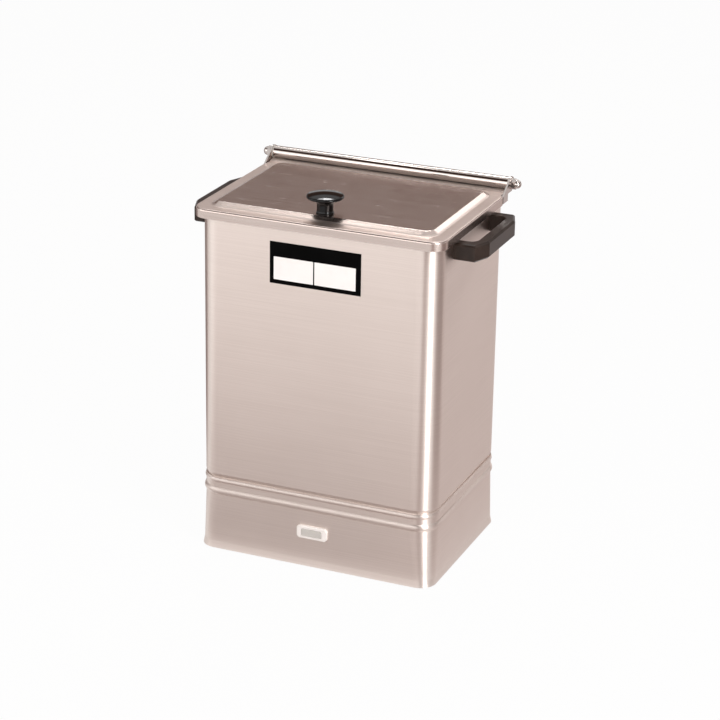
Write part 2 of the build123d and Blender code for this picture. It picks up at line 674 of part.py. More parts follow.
def cap_nut():
    """Domed nut on the right end of the rod."""
    start = Vector(NUT_X, ROD_Y, ROD_Z)
    shoulder = NUT_FLATS / 2 - NUT_STEP
    straight = NUT_DOME - shoulder
    middle = shoulder * math.sqrt(0.5)
    dome = make_face([
        Polyline((0, NUT_DOME), (0, 0), (shoulder, 0), (shoulder, straight)),
        ThreePointArc((shoulder, straight), (middle, straight + middle), (0, NUT_DOME)),
    ])
    dome = revolve(Plane.XZ * dome, axis=Axis.Z)
    body = hexagon((1, 0, 0), NUT_FLATS, start, NUT_HEX)
    body += Pos(start + Vector(NUT_HEX, 0, 0)) * (Rot(0, 90, 0) * dome)
    return body - bar((1, 0, 0), ROD_RADIUS + RUNNING_GAP, start, NUT_HEX + SCREW_END_GAP)


def hinge_tube():
    """Sheet rolled into a tube round the hinge line, its leaf running forward on the lid."""
    inner = TUBE_RADIUS - SHEET
    curl = Circle(TUBE_RADIUS) - Circle(inner)
    middle = math.radians(270 - CURL_OPEN / 2)
    spread = math.radians(CURL_OPEN / 2)
    reach = 3 * TUBE_RADIUS
    rays = [(reach * math.cos(middle + turn), reach * math.sin(middle + turn)) for turn in (-spread, spread)]
    curl -= make_face(Polyline((0, 0), *rays, close=True))
    curl += Pos(-LEAF_DEPTH / 2, -TUBE_RADIUS + SHEET / 2) * Rectangle(LEAF_DEPTH, SHEET)
    section = Pos(0, ROD_Y, ROD_Z) * (Plane.YZ * curl)
    return extrude(section, amount=HINGE_HALF, dir=(1, 0, 0), both=True)


def hinge_bush():
    """Flanged bush in the right end of the tube, which turns on the rod."""
    radius = TUBE_RADIUS - SHEET - SCREW_GAP
    bush = bar((-1, 0, 0), radius, (HINGE_HALF, ROD_Y, ROD_Z), BUSH_LENGTH)
    bush += bar((1, 0, 0), TUBE_RADIUS - SCREW_GAP, (HINGE_HALF, ROD_Y, ROD_Z), BUSH_FLANGE)
    start = (HINGE_HALF - 2 * BUSH_LENGTH, ROD_Y, ROD_Z)
    return bush - bar((1, 0, 0), ROD_RADIUS + RUNNING_GAP, start, 4 * BUSH_LENGTH)


def slope_section():
    """Pressed S-bend between the lid's flange and its raised panel."""
    low = LID_TOP
    high = LID_TOP + RAISE
    lean = SHEET * RAISE / RAISE_SLOPE / 2
    points = [
        (SLOPE_LAND, low), (0, low), (-RAISE_SLOPE, high), (-RAISE_SLOPE - SLOPE_LAND, high),
        (-RAISE_SLOPE - SLOPE_LAND, high - SHEET), (-RAISE_SLOPE + lean, high - SHEET),
        (lean, low - SHEET), (SLOPE_LAND, low - SHEET),
    ]
    bends = [0, RAISE_SOFT, RAISE_SOFT + SHEET, 0, 0, RAISE_SOFT, RAISE_SOFT + SHEET, 0]
    return upright(points, bends)


def lid_panel():
    """Pressed lid: turned-down edge on three sides, flat flange, raised panel, hinge notches."""
    raise_x = LID_HALF_X - RAISE_SIDE
    raise_front = LID_FRONT - RAISE_SIDE
    raise_y = (raise_front + RAISE_REAR_Y) / 2
    middle_y = RAISE_REAR_Y - raise_y
    under = LID_TOP - SHEET
    edge = wall_loop(edge_section(LID_TOP, LID_SKIRT, LID_LAND, LID_BEND), LID_HALF_X, LID_FRONT, LID_CORNER)
    flange = plate(LID_HALF_X - LID_LAND, LID_FRONT - LID_LAND, LID_CORNER - LID_LAND, under, LID_TOP)
    land = SLOPE_LAND
    flange -= plate(raise_x + land, raise_y + land, RAISE_CORNER + land, 0, 2 * LID_TOP, middle_y)
    slope = Pos(0, middle_y, 0) * wall_loop(slope_section(), raise_x, raise_y, RAISE_CORNER)
    inset = RAISE_SLOPE + SLOPE_LAND
    corner = RAISE_CORNER - inset
    top = plate(raise_x - inset, raise_y - inset, corner, under + RAISE, LID_TOP + RAISE, middle_y)
    lid = Part() + [edge, flange, slope, top]
    size = 4 * LID_HALF_X
    lid -= Pos(0, ROD_Y + size / 2, LID_TOP) * Box(size, size, size)
    lid -= Pos(0, LID_NOTCH_Y + size / 2, LID_TOP - SHEET - size / 2) * Box(size, size, size)
    for side in (-1, 1):
        lid -= Pos(side * (HINGE_HALF + size / 2), LID_NOTCH_Y + size / 2, LID_TOP) * Box(size, size, size)
    return lid - Pos(0, KNOB_Y, LID_TOP) * Cylinder(KNOB_SCREW + SCREW_GAP, 4 * RAISE)


def lid_knob():
    """Mushroom knob: a waisted neck under a thin domed cap."""
    widest = KNOB_HEIGHT - KNOB_CAP_BELOW
    rim_low = (KNOB_CAP - KNOB_RIM, widest - KNOB_RIM)
    rim_high = (KNOB_CAP - KNOB_RIM, widest + KNOB_RIM)
    fall = KNOB_HEIGHT - rim_high[1]
    sphere = (rim_high[0] ** 2 + fall ** 2) / (2 * fall)
    crown = (rim_high[0] / 2, KNOB_HEIGHT - sphere + math.sqrt(sphere ** 2 - rim_high[0] ** 2 / 4))
    profile = make_face([
        Line((0, 0), (KNOB_FOOT, 0)),
        Line((KNOB_FOOT, 0), (KNOB_FOOT, KNOB_FOOT_EDGE)),
        Spline(
            (KNOB_FOOT, KNOB_FOOT_EDGE), (KNOB_NECK, KNOB_WAIST * KNOB_HEIGHT),
            (KNOB_NECK_TOP, KNOB_SPREAD * KNOB_HEIGHT), rim_low,
            tangents=((-1, 1), (1, 0.25)),
        ),
        ThreePointArc(rim_low, (KNOB_CAP, widest), rim_high),
        ThreePointArc(rim_high, crown, (0, KNOB_HEIGHT)),
        Line((0, KNOB_HEIGHT), (0, 0)),
    ])
    knob = revolve(Plane.XZ * profile, axis=Axis.Z)
    knob -= Cylinder(KNOB_SCREW + SCREW_GAP, 2 * (KNOB_SCREW_REACH + SCREW_END_GAP))
    return Pos(0, KNOB_Y, KNOB_BASE) * knob


def knob_fixing():
    """Screw and washer that hold the knob from under the lid."""
    seat = KNOB_BASE - SHEET - WASHER_THICK
    ring = Cylinder(WASHER_RADIUS, WASHER_THICK) - Cylinder(KNOB_SCREW + SCREW_GAP, WASHER_THICK)
    length = WASHER_THICK + SHEET + KNOB_SCREW_REACH
    screw = pan_screw(KNOB_SCREW, SMALL_HEAD, HEAD_THICK, length)
    return Pos(0, KNOB_Y, seat) * screw, Pos(0, KNOB_Y, seat + WASHER_THICK / 2) * ring


# Heater and controls

def heating_element():
    """Tubular element bent round the floor, with two cold ends and their pins."""
    z = ELEMENT_Z
    half = [
        (COLD_END_X, COLD_END_Y, z), (COLD_END_X, ELEMENT_HALF_Y, z),
        (ELEMENT_HALF_X, ELEMENT_HALF_Y, z), (ELEMENT_HALF_X, -ELEMENT_HALF_Y, z),
    ]
    tube = wire(half + [(-x, y, z) for x, y, z in reversed(half)], ELEMENT_RADIUS, ELEMENT_BEND)
    pins = [bar((0, -1, 0), PIN_RADIUS, (side * COLD_END_X, COLD_END_Y, z), PIN_LENGTH) for side in (-1, 1)]
    return Part() + [tube] + pins


def stud_places():
    """Centres of the clamp studs."""
    return [(x, y) for x in (-CLAMP_X, CLAMP_X) for y in (-STUD_Y, STUD_Y)]


def element_clamps():
    """Two bars that press the element against the floor."""
    bars = []
    for side in (-1, 1):
        strip = Box(CLAMP_WIDTH, 2 * (ELEMENT_HALF_Y + CLAMP_WIDTH), CLAMP_THICK)
        strip = Pos(side * CLAMP_X, 0, CLAMP_TOP - CLAMP_THICK / 2) * strip
        for y in (-STUD_Y, STUD_Y):
            strip -= bar((0, 0, 1), STUD_RADIUS + FIT_GAP, (side * CLAMP_X, y, 0), FLOOR_Z)
        bars.append(strip)
    return bars


def element_studs():
    """Studs welded under the floor."""
    length = FLOOR_Z - CLAMP_TOP + CLAMP_THICK + M5_THICK + STUD_TAIL
    return [bar((0, 0, -1), STUD_RADIUS, (x, y, FLOOR_Z), length) for x, y in stud_places()]


def element_nuts():
    """Nuts under the clamp bars."""
    seat = CLAMP_TOP - CLAMP_THICK
    bore = STUD_RADIUS + SCREW_GAP
    return [nut((0, 0, -1), M5_FLATS, M5_THICK, bore, (x, y, seat)) for x, y in stud_places()]


def shelf(x, width, depth, side):
    """Angle bracket welded to the skirt's front (-1) or rear (1) wall."""
    middle = side * (SKIRT_INNER_Y - depth / 2)
    ledge = Pos(x, middle, SHELF_Z + BRACKET_SHEET / 2) * Box(width, depth, BRACKET_SHEET)
    leg_y = side * (SKIRT_INNER_Y - BRACKET_SHEET / 2)
    return ledge + Pos(x, leg_y, SHELF_Z + TAB_DEPTH / 2) * Box(width, BRACKET_SHEET, TAB_DEPTH)


def thermostat_shelf():
    """Bracket that carries the thermostat by its bushing."""
    depth = SKIRT_INNER_Y + THERMO_Y + THERMO_DEPTH / 2 + SHELF_MARGIN
    ledge = shelf(THERMO_X, THERMO_WIDTH + 2 * SHELF_MARGIN, depth, -1)
    return ledge - bar((0, 0, 1), BUSHING_RADIUS + SCREW_GAP, (THERMO_X, THERMO_Y, 0), 2 * SHELF_Z)


def terminal_shelf():
    """Bracket that carries the terminal block."""
    depth = SKIRT_INNER_Y - BLOCK_Y + BLOCK_DEPTH / 2 + SHELF_MARGIN
    return shelf(BLOCK_X, BLOCK_WIDTH + SHELF_MARGIN, depth, 1)


def thermostat_body():
    """Thermostat switch: moulded case, threaded bushing, three tabs, a bore for the spindle."""
    middle = (THERMO_X, THERMO_Y, SHELF_TOP + THERMO_HEIGHT / 2)
    case = Box(THERMO_WIDTH, THERMO_DEPTH, THERMO_HEIGHT)
    case = Pos(middle) * fillet(case.edges().filter_by(Axis.Z), 2 * BEND)
    case += bar((0, 0, -1), BUSHING_RADIUS, (THERMO_X, THERMO_Y, SHELF_TOP), BUSHING_LENGTH)
    tab = Box(TAB_BLADE, TAB_REACH, LAMP_TAB_THICK)
    back = THERMO_Y + THERMO_DEPTH / 2
    case += [Pos(x, back + TAB_REACH / 2, LEAD_Z) * tab for x in thermostat_tab_places()]
    depth = SPINDLE_BOTTOM + SPINDLE_LENGTH + SPINDLE_END_GAP
    return case - bar((0, 0, 1), SPINDLE_RADIUS + RUNNING_GAP, (THERMO_X, THERMO_Y, 0), depth)


def thermostat_tab_places():
    """X of the thermostat's three tabs."""
    return [THERMO_X - TAB_PITCH, THERMO_X, THERMO_X + TAB_PITCH]


def bushing_nut():
    """Nut that holds the thermostat under its shelf."""
    bore = BUSHING_RADIUS + SCREW_GAP
    return nut((0, 0, -1), BUSHING_NUT_FLATS, BUSHING_NUT, bore, (THERMO_X, THERMO_Y, SHELF_Z))


def thermostat_spindle():
    """Setting spindle with a screwdriver slot at its lower end."""
    spindle = bar((0, 0, 1), SPINDLE_RADIUS, (THERMO_X, THERMO_Y, SPINDLE_BOTTOM), SPINDLE_LENGTH)
    slot = Box(4 * SPINDLE_RADIUS, SLOT_WIDTH, 2 * SLOT_DEPTH)
    return spindle - Pos(THERMO_X, THERMO_Y, SPINDLE_BOTTOM) * slot


def sensing_bulb():
    """Thermostat bulb under the floor, with rounded ends."""
    bulb = bar((1, 0, 0), BULB_RADIUS, (-BULB_HALF, BULB_Y, BULB_Z), 2 * BULB_HALF)
    return fillet(bulb.edges().filter_by(GeomType.CIRCLE), BULB_RADIUS / 2)


def capillary_tube():
    """Fine tube from the bulb to the thermostat."""
    lane_x = BULB_HALF + CAPILLARY_LANE
    lane_z = CLAMP_TOP - CAPILLARY_LANE
    end_x = THERMO_X - THERMO_WIDTH / 2 + CAPILLARY_INSET
    end_y = THERMO_Y + CAPILLARY_OFFSET
    points = [
        (BULB_HALF, BULB_Y, BULB_Z), (lane_x, BULB_Y, BULB_Z), (lane_x, BULB_Y, lane_z),
        (lane_x, end_y, lane_z), (end_x, end_y, lane_z), (end_x, end_y, SHELF_TOP + THERMO_HEIGHT),
    ]
    return wire(points, CAPILLARY_RADIUS, 3 * CAPILLARY_RADIUS)


def bulb_clips():
    """Two saddles spot-welded under the floor that hold the bulb."""
    inner = BULB_RADIUS + SCREW_GAP
    outer = inner + CLIP_SHEET
    rise = FLOOR_Z - BULB_Z
    saddle = Circle(outer) + Pos(0, rise / 2) * Rectangle(2 * outer, rise)
    ears = Pos(0, rise - CLIP_SHEET / 2) * Rectangle(2 * (outer + CLIP_EAR), CLIP_SHEET)
    saddle = (saddle & (Pos(0, rise - 2 * outer) * Rectangle(4 * outer, 4 * outer))) + ears
    saddle -= Circle(inner) + Pos(0, rise) * Rectangle(2 * inner, 2 * rise)
    strip = extrude(Plane.YZ * saddle, amount=CLIP_WIDTH / 2, dir=(1, 0, 0), both=True)
    return [Pos(side * CLIP_X, BULB_Y, BULB_Z) * strip for side in (-1, 1)]


def pole_places():
    """X of the four poles of the terminal block."""
    return [BLOCK_X + POLE_PITCH * step for step in (-1.5, -0.5, 0.5, 1.5)]


def terminal_block():
    """Four-pole terminal block with screw wells and wire entries."""
    block = Pos(BLOCK_X, BLOCK_Y, SHELF_TOP + BLOCK_HEIGHT / 2) * Box(BLOCK_WIDTH, BLOCK_DEPTH, BLOCK_HEIGHT)
    front = BLOCK_Y - BLOCK_DEPTH / 2
    for x in pole_places():
        well = (x, BLOCK_Y, SHELF_TOP + BLOCK_HEIGHT - WELL_DEPTH)
        block -= bar((0, 0, 1), WELL_RADIUS, well, BLOCK_HEIGHT)
        block -= bar((0, 1, 0), LEAD_RADIUS + 3 * FIT_GAP, (x, front, LEAD_Z), ENTRY_DEPTH)
    return block


def terminal_screws():
    """Slotted screws in the wells of the terminal block."""
    screws = []
    for x in pole_places():
        start = (x, BLOCK_Y, SHELF_TOP + BLOCK_HEIGHT - WELL_DEPTH)
        screw = bar((0, 0, 1), WELL_RADIUS - FIT_GAP, start, WELL_DEPTH / 2)
        slot = Box(4 * WELL_RADIUS, SLOT_WIDTH, 2 * SLOT_DEPTH)
        screws.append(screw - Pos(x, BLOCK_Y, start[2] + WELL_DEPTH / 2) * slot)
    return screws


def earth_stud():
    """Stud welded inside the skirt's rear wall."""
    length = LUG_SHEET + M5_THICK + 2 * STUD_TAIL
    return bar((0, -1, 0), STUD_RADIUS, (EARTH_X, SKIRT_INNER_Y, EARTH_Z), length)


def earth_nut():
    """Nut that presses the lug against the wall."""
    seat = (EARTH_X, SKIRT_INNER_Y - LUG_SHEET, EARTH_Z)
    return nut((0, -1, 0), M5_FLATS, M5_THICK, STUD_RADIUS + SCREW_GAP, seat)


def earth_lug():
    """Ring lug on the earth stud with its crimp barrel."""
    ring = bar((0, -1, 0), 2 * STUD_RADIUS, (EARTH_X, SKIRT_INNER_Y, EARTH_Z), LUG_SHEET)
    neck = Box(LUG_REACH, LUG_SHEET, 1.6 * STUD_RADIUS)
    lug = ring + Pos(EARTH_X - LUG_REACH / 2, SKIRT_INNER_Y - LUG_SHEET / 2, EARTH_Z) * neck
    barrel = (EARTH_X - LUG_REACH / 2, SKIRT_INNER_Y - LUG_BARREL, EARTH_Z)
    lug += bar((-1, 0, 0), LUG_BARREL, barrel, LUG_REACH / 2)
    hole = (EARTH_X, SKIRT_INNER_Y + 1, EARTH_Z)
    return lug - bar((0, -1, 0), STUD_RADIUS + SCREW_GAP, hole, 4 * LUG_SHEET)


def cord_gland():
    """Cord entry in the rear wall: flange, tapered nose, threaded body and bore."""
    face = Vector(GLAND_X, TANK_HALF_Y, GLAND_Z)
    inner_length = SHEET + GLAND_NUT + GLAND_TAIL
    gland = bar((0, -1, 0), GLAND_THREAD, face, inner_length)
    gland += bar((0, 1, 0), GLAND_FLANGE, face, GLAND_PROUD / 2)
    nose = Solid.make_cone(GLAND_FLANGE - GLAND_SHOULDER, GLAND_THREAD, GLAND_PROUD / 2)
    gland += Pos(face + Vector(0, GLAND_PROUD / 2, 0)) * (Rot(-90, 0, 0) * nose)
    start = (GLAND_X, TANK_HALF_Y - inner_length, GLAND_Z)
    return gland - bar((0, 1, 0), GLAND_BORE, start, inner_length + GLAND_PROUD)


def gland_nut():
    """Nut of the cord gland, inside the skirt."""
    seat = (GLAND_X, SKIRT_INNER_Y, GLAND_Z)
    return nut((0, -1, 0), GLAND_NUT_FLATS, GLAND_NUT, GLAND_THREAD + SCREW_GAP, seat)


def lead(*points):
    """Insulated lead along a route of straight runs."""
    return wire(points, LEAD_RADIUS, LEAD_BEND)


def lead_routes():
    """Routes of the internal leads, from the terminal block and the pilot lamp."""
    earth, neutral_pilot, neutral, line = pole_places()
    line_tab, element_tab, pilot_tab = thermostat_tab_places()
    entry = BLOCK_Y - BLOCK_DEPTH / 2 + ENTRY_DEPTH - SCREW_END_GAP
    line_y = entry - LINE_LANE
    neutral_y = entry - NEUTRAL_LANE
    earth_y = entry - EARTH_LANE
    tab_y = THERMO_Y + THERMO_DEPTH / 2 + TAB_REACH
    element_y = tab_y + ELEMENT_LANE
    pilot_y = tab_y + PILOT_LANE
    lamp_y = LAMP_TAB_END + LAMP_LANE
    pin_y = COLD_END_Y - PIN_LENGTH
    drop_y = pin_y - 2 * LEAD_BEND
    barrel_y = SKIRT_INNER_Y - LUG_BARREL
    barrel_x = EARTH_X - LUG_REACH
    side_x = barrel_x - EARTH_SIDE_LANE
    z = LEAD_Z
    high = EARTH_Z
    return {
        "heater_leads": [
            [(line, entry, z), (line, line_y, z), (line_tab, line_y, z), (line_tab, tab_y, z)],
            [(element_tab, tab_y, z), (element_tab, element_y, z), (element_tab, element_y, high),
             (COLD_END_X, element_y, high), (COLD_END_X, drop_y, high),
             (COLD_END_X, drop_y, ELEMENT_Z), (COLD_END_X, pin_y, ELEMENT_Z)],
            [(neutral, entry, z), (neutral, neutral_y, z), (-COLD_END_X, neutral_y, z),
             (-COLD_END_X, drop_y, z), (-COLD_END_X, drop_y, ELEMENT_Z), (-COLD_END_X, pin_y, ELEMENT_Z)],
        ],
        "pilot_leads": [
            [(LAMP_TAB_X, LAMP_TAB_END, PILOT_Z), (LAMP_TAB_X, pilot_y, PILOT_Z),
             (pilot_tab, pilot_y, PILOT_Z), (pilot_tab, pilot_y, z), (pilot_tab, tab_y, z)],
            [(-LAMP_TAB_X, LAMP_TAB_END, PILOT_Z), (-LAMP_TAB_X, lamp_y, PILOT_Z),
             (-LAMP_TAB_X, lamp_y, z), (neutral_pilot, lamp_y, z), (neutral_pilot, entry, z)],
        ],
        "earth_lead": [
            [(earth, entry, z), (earth, earth_y, z), (earth, earth_y, high), (side_x, earth_y, high),
             (side_x, barrel_y, high), (barrel_x, barrel_y, high)],
        ],
    }


# Pack rack

def wire_frame(half_x, half_y, corner, radius, z):
    """Closed round-wire loop lying level."""
    section = Plane.XZ * (Pos(0, z) * Circle(radius))
    return wall_loop(section, half_x, half_y, corner)


def hoop(y, half, bottom, top, bend, radius):
    """Inverted-U wire in an XZ plane."""
    points = [(-half, y, bottom), (-half, y, top), (half, y, top), (half, y, bottom)]
    return wire(points, radius, bend)


def floor_wire_places():
    """X of the wires that the packs stand on."""
    middle = (FLOOR_WIRES - 1) / 2
    return [FLOOR_WIRE_PITCH * (step - middle) for step in range(FLOOR_WIRES)]


def floor_wires():
    """Wires across the lower frame."""
    half = RACK_HALF_Y - WIRE - WELD_GAP
    return [bar((0, 1, 0), THIN_WIRE, (x, -half, LOWER_FRAME_Z), 2 * half) for x in floor_wire_places()]


def rack_feet():
    """Short legs under the outer floor wires."""
    outer = floor_wire_places()[-1]
    length = RACK_FOOT - THIN_WIRE - WELD_GAP
    places = [(x, y) for x in (-outer, outer) for y in (-RACK_FOOT_Y, RACK_FOOT_Y)]
    return [bar((0, 0, 1), THIN_WIRE, (x, y, FLOOR_TOP), length) for x, y in places]


def dividers():
    """Hoops between the pack slots and at both ends of the rack."""
    bottom = LOWER_FRAME_Z + WIRE + WELD_GAP
    hoops = []
    for step in range(SLOTS + 1):
        y = -RACK_HALF_Y + step * SLOT_PITCH
        end = step in (0, SLOTS)
        half = RACK_HALF_X - RACK_CORNER if end else RACK_HALF_X
        hoops.append(hoop(y, half, bottom, RACK_TOP, HOOP_BEND, THIN_WIRE))
    return hoops


def rack_upper_frame():
    """Loop round the outside of all the hoops."""
    grow = 2 * THIN_WIRE + WELD_GAP
    return wire_frame(RACK_HALF_X + grow, RACK_HALF_Y + grow, RACK_CORNER + grow, THIN_WIRE, UPPER_FRAME_Z)


def rack_lifts():
    """Two lifting loops on the short sides of the upper frame."""
    x = RACK_HALF_X + 2 * THIN_WIRE + WELD_GAP
    bottom = UPPER_FRAME_Z + THIN_WIRE + WELD_GAP
    loop = hoop(0, LIFT_HALF, bottom, LIFT_TOP, LIFT_BEND, THIN_WIRE)
    return [Pos(side * x, 0, 0) * (Rot(0, 0, 90) * loop) for side in (-1, 1)]


def build_base():
    """Write the tank, the base and what is fixed to them."""
    save("tank", tank())
    save("base_skirt", base_skirt())
    save("bottom_cover", bottom_cover())
    save("cover_tabs", *cover_tabs())
    save("cover_screws", *cover_screws())
    save("feet", *[foot(x, y) for x, y in foot_places()])
    save("foot_screws", *foot_screws())
    save("foot_nuts", *foot_nuts())
    save("label_plate", label_plate())
    save("pilot_bezel", pilot_bezel())
    save("pilot_lens", pilot_lens())
    save("pilot_lamp", pilot_lamp())
    save("pilot_clip", pilot_clip())


def build_handles():
    """Write both handles and their fixings."""
    right = handle()
    screws, seals = handle_fixings()
    save("handle_right", right)
    save("handle_left", mirror(right, about=Plane.YZ))
    save("handle_screws", *screws, *[mirror(screw, about=Plane.YZ) for screw in screws])
    save("handle_seals", *seals, *[mirror(seal, about=Plane.YZ) for seal in seals])


def build_hinge_and_lid():
    """Write the hinge and all that swings with the lid."""
    ear = hinge_bracket()
    washer = hinge_washer()
    cap = cap_nut()
    bush = hinge_bush()
    screw, ring = knob_fixing()
    save("hinge_bracket_right", ear)
    save("hinge_bracket_left", mirror(ear, about=Plane.YZ))
    save("hinge_rod", hinge_rod())
    save("hinge_washers", washer, mirror(washer, about=Plane.YZ))
    save("cap_nuts", cap, mirror(cap, about=Plane.YZ))
    save("hinge_tube", hinge_tube())
    save("hinge_bushes", bush, mirror(bush, about=Plane.YZ))
    save("lid_panel", lid_panel())
    save("lid_knob", lid_knob())
    save("knob_screw", screw)
    save("knob_washer", ring)


def build_heater():
    """Write the heating element, the thermostat and the wiring."""
    save("heating_element", heating_element())
    save("element_clamps", *element_clamps())
    save("element_studs", *element_studs())
    save("element_nuts", *element_nuts())
    save("thermostat_shelf", thermostat_shelf())
    save("thermostat_body", thermostat_body())
    save("bushing_nut", bushing_nut())
    save("thermostat_spindle", thermostat_spindle())
    save("sensing_bulb", sensing_bulb())
    save("capillary_tube", capillary_tube())
    save("bulb_clips", *bulb_clips())
    save("terminal_shelf", terminal_shelf())
    save("terminal_block", terminal_block())
    save("terminal_screws", *terminal_screws())
    save("earth_stud", earth_stud())
    save("earth_lug", earth_lug())
    save("earth_nut", earth_nut())
    save("cord_gland", cord_gland())
    save("gland_nut", gland_nut())
    for node, routes in lead_routes().items():
        save(node, *[lead(*route) for route in routes])


def build_rack():
    """Write the lift-out pack rack."""
    save("rack_lower_frame", wire_frame(RACK_HALF_X, RACK_HALF_Y, RACK_CORNER, WIRE, LOWER_FRAME_Z))
    save("rack_upper_frame", rack_upper_frame())
    save("rack_floor_wires", *floor_wires())
    save("rack_feet", *rack_feet())
    for number, divider in enumerate(dividers(), start=1):
        save(f"rack_hoop_{number}", divider)
    save("rack_lifts", *rack_lifts())


if __name__ == "__main__":
    os.makedirs("parts", exist_ok=True)
    build_base()
    build_handles()
    build_hinge_and_lid()
    build_heater()
    build_rack()
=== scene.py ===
"""Finishes, bare name plate and studio of a counter-top hot pack heater."""

import json
import logging
import math
from dataclasses import dataclass
from enum import Enum
from typing import Any, Mapping

import bmesh
import bpy
from mathutils import Matrix, Vector


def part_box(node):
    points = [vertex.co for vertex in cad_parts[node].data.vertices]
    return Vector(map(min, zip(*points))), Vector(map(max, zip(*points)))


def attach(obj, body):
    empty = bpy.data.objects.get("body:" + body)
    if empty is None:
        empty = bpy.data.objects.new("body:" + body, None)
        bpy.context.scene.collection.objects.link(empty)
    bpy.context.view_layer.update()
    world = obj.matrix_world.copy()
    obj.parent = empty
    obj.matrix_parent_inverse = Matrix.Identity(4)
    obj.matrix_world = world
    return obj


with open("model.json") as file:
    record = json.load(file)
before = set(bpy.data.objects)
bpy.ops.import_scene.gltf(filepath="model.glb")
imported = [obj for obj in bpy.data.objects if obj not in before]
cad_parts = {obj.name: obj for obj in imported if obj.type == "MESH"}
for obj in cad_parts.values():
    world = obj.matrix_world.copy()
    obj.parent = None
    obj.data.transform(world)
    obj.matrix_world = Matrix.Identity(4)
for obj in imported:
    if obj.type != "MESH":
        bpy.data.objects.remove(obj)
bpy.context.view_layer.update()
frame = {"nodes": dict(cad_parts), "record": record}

LOG = logging.getLogger("hot_pack_heater")
MM = 0.001
UNIT = "unit"
SEEN_RAYS = ("Camera", "Glossy", "Transmission")
CORNER_STEPS = 6

# Colour sockets of the Mix node, which has one set of sockets for each type of value.
MIX_COLOUR_A = 6
MIX_COLOUR_B = 7
MIX_COLOUR_OUT = 2

Triple = tuple[float, float, float]
Colour = tuple[float, float, float]
WHITE: Colour = (1.0, 1.0, 1.0)


# ---------------------------------------------------------------- shader sheets


class Flow:
    """A number that runs through a material, usable in plain arithmetic."""

    def __init__(self, sheet: "Sheet", socket: bpy.types.NodeSocket) -> None:
        """Wrap one output socket of a sheet's node tree."""
        self.sheet = sheet
        self.socket = socket

    def _join(self, operation: str, first: Any, second: Any) -> "Flow":
        """Add one Math node.

        Args:
            operation: the Math node's operation.
            first: a Flow or a number.
            second: a Flow or a number.

        Returns:
            The node's result.
        """
        made = self.sheet.node("ShaderNodeMath", {"operation": operation}, {0: first, 1: second})
        return Flow(self.sheet, made.outputs[0])

    def __add__(self, other: Any) -> "Flow":
        """self + other."""
        return self._join("ADD", self, other)

    def __radd__(self, other: Any) -> "Flow":
        """other + self."""
        return self._join("ADD", other, self)

    def __sub__(self, other: Any) -> "Flow":
        """self - other."""
        return self._join("SUBTRACT", self, other)

    def __rsub__(self, other: Any) -> "Flow":
        """other - self."""
        return self._join("SUBTRACT", other, self)

    def __mul__(self, other: Any) -> "Flow":
        """self * other."""
        return self._join("MULTIPLY", self, other)

    def __rmul__(self, other: Any) -> "Flow":
        """other * self."""
        return self._join("MULTIPLY", other, self)

    def __truediv__(self, other: Any) -> "Flow":
        """self / other."""
        return self._join("DIVIDE", self, other)

    def __pow__(self, other: Any) -> "Flow":
        """self to the power of other."""
        return self._join("POWER", self, other)


@dataclass(frozen=True)
class Ramp:
    """A smooth step from one value to another, held beyond both ends."""

    low: float
    high: float
    start: float = 0.0
    stop: float = 1.0


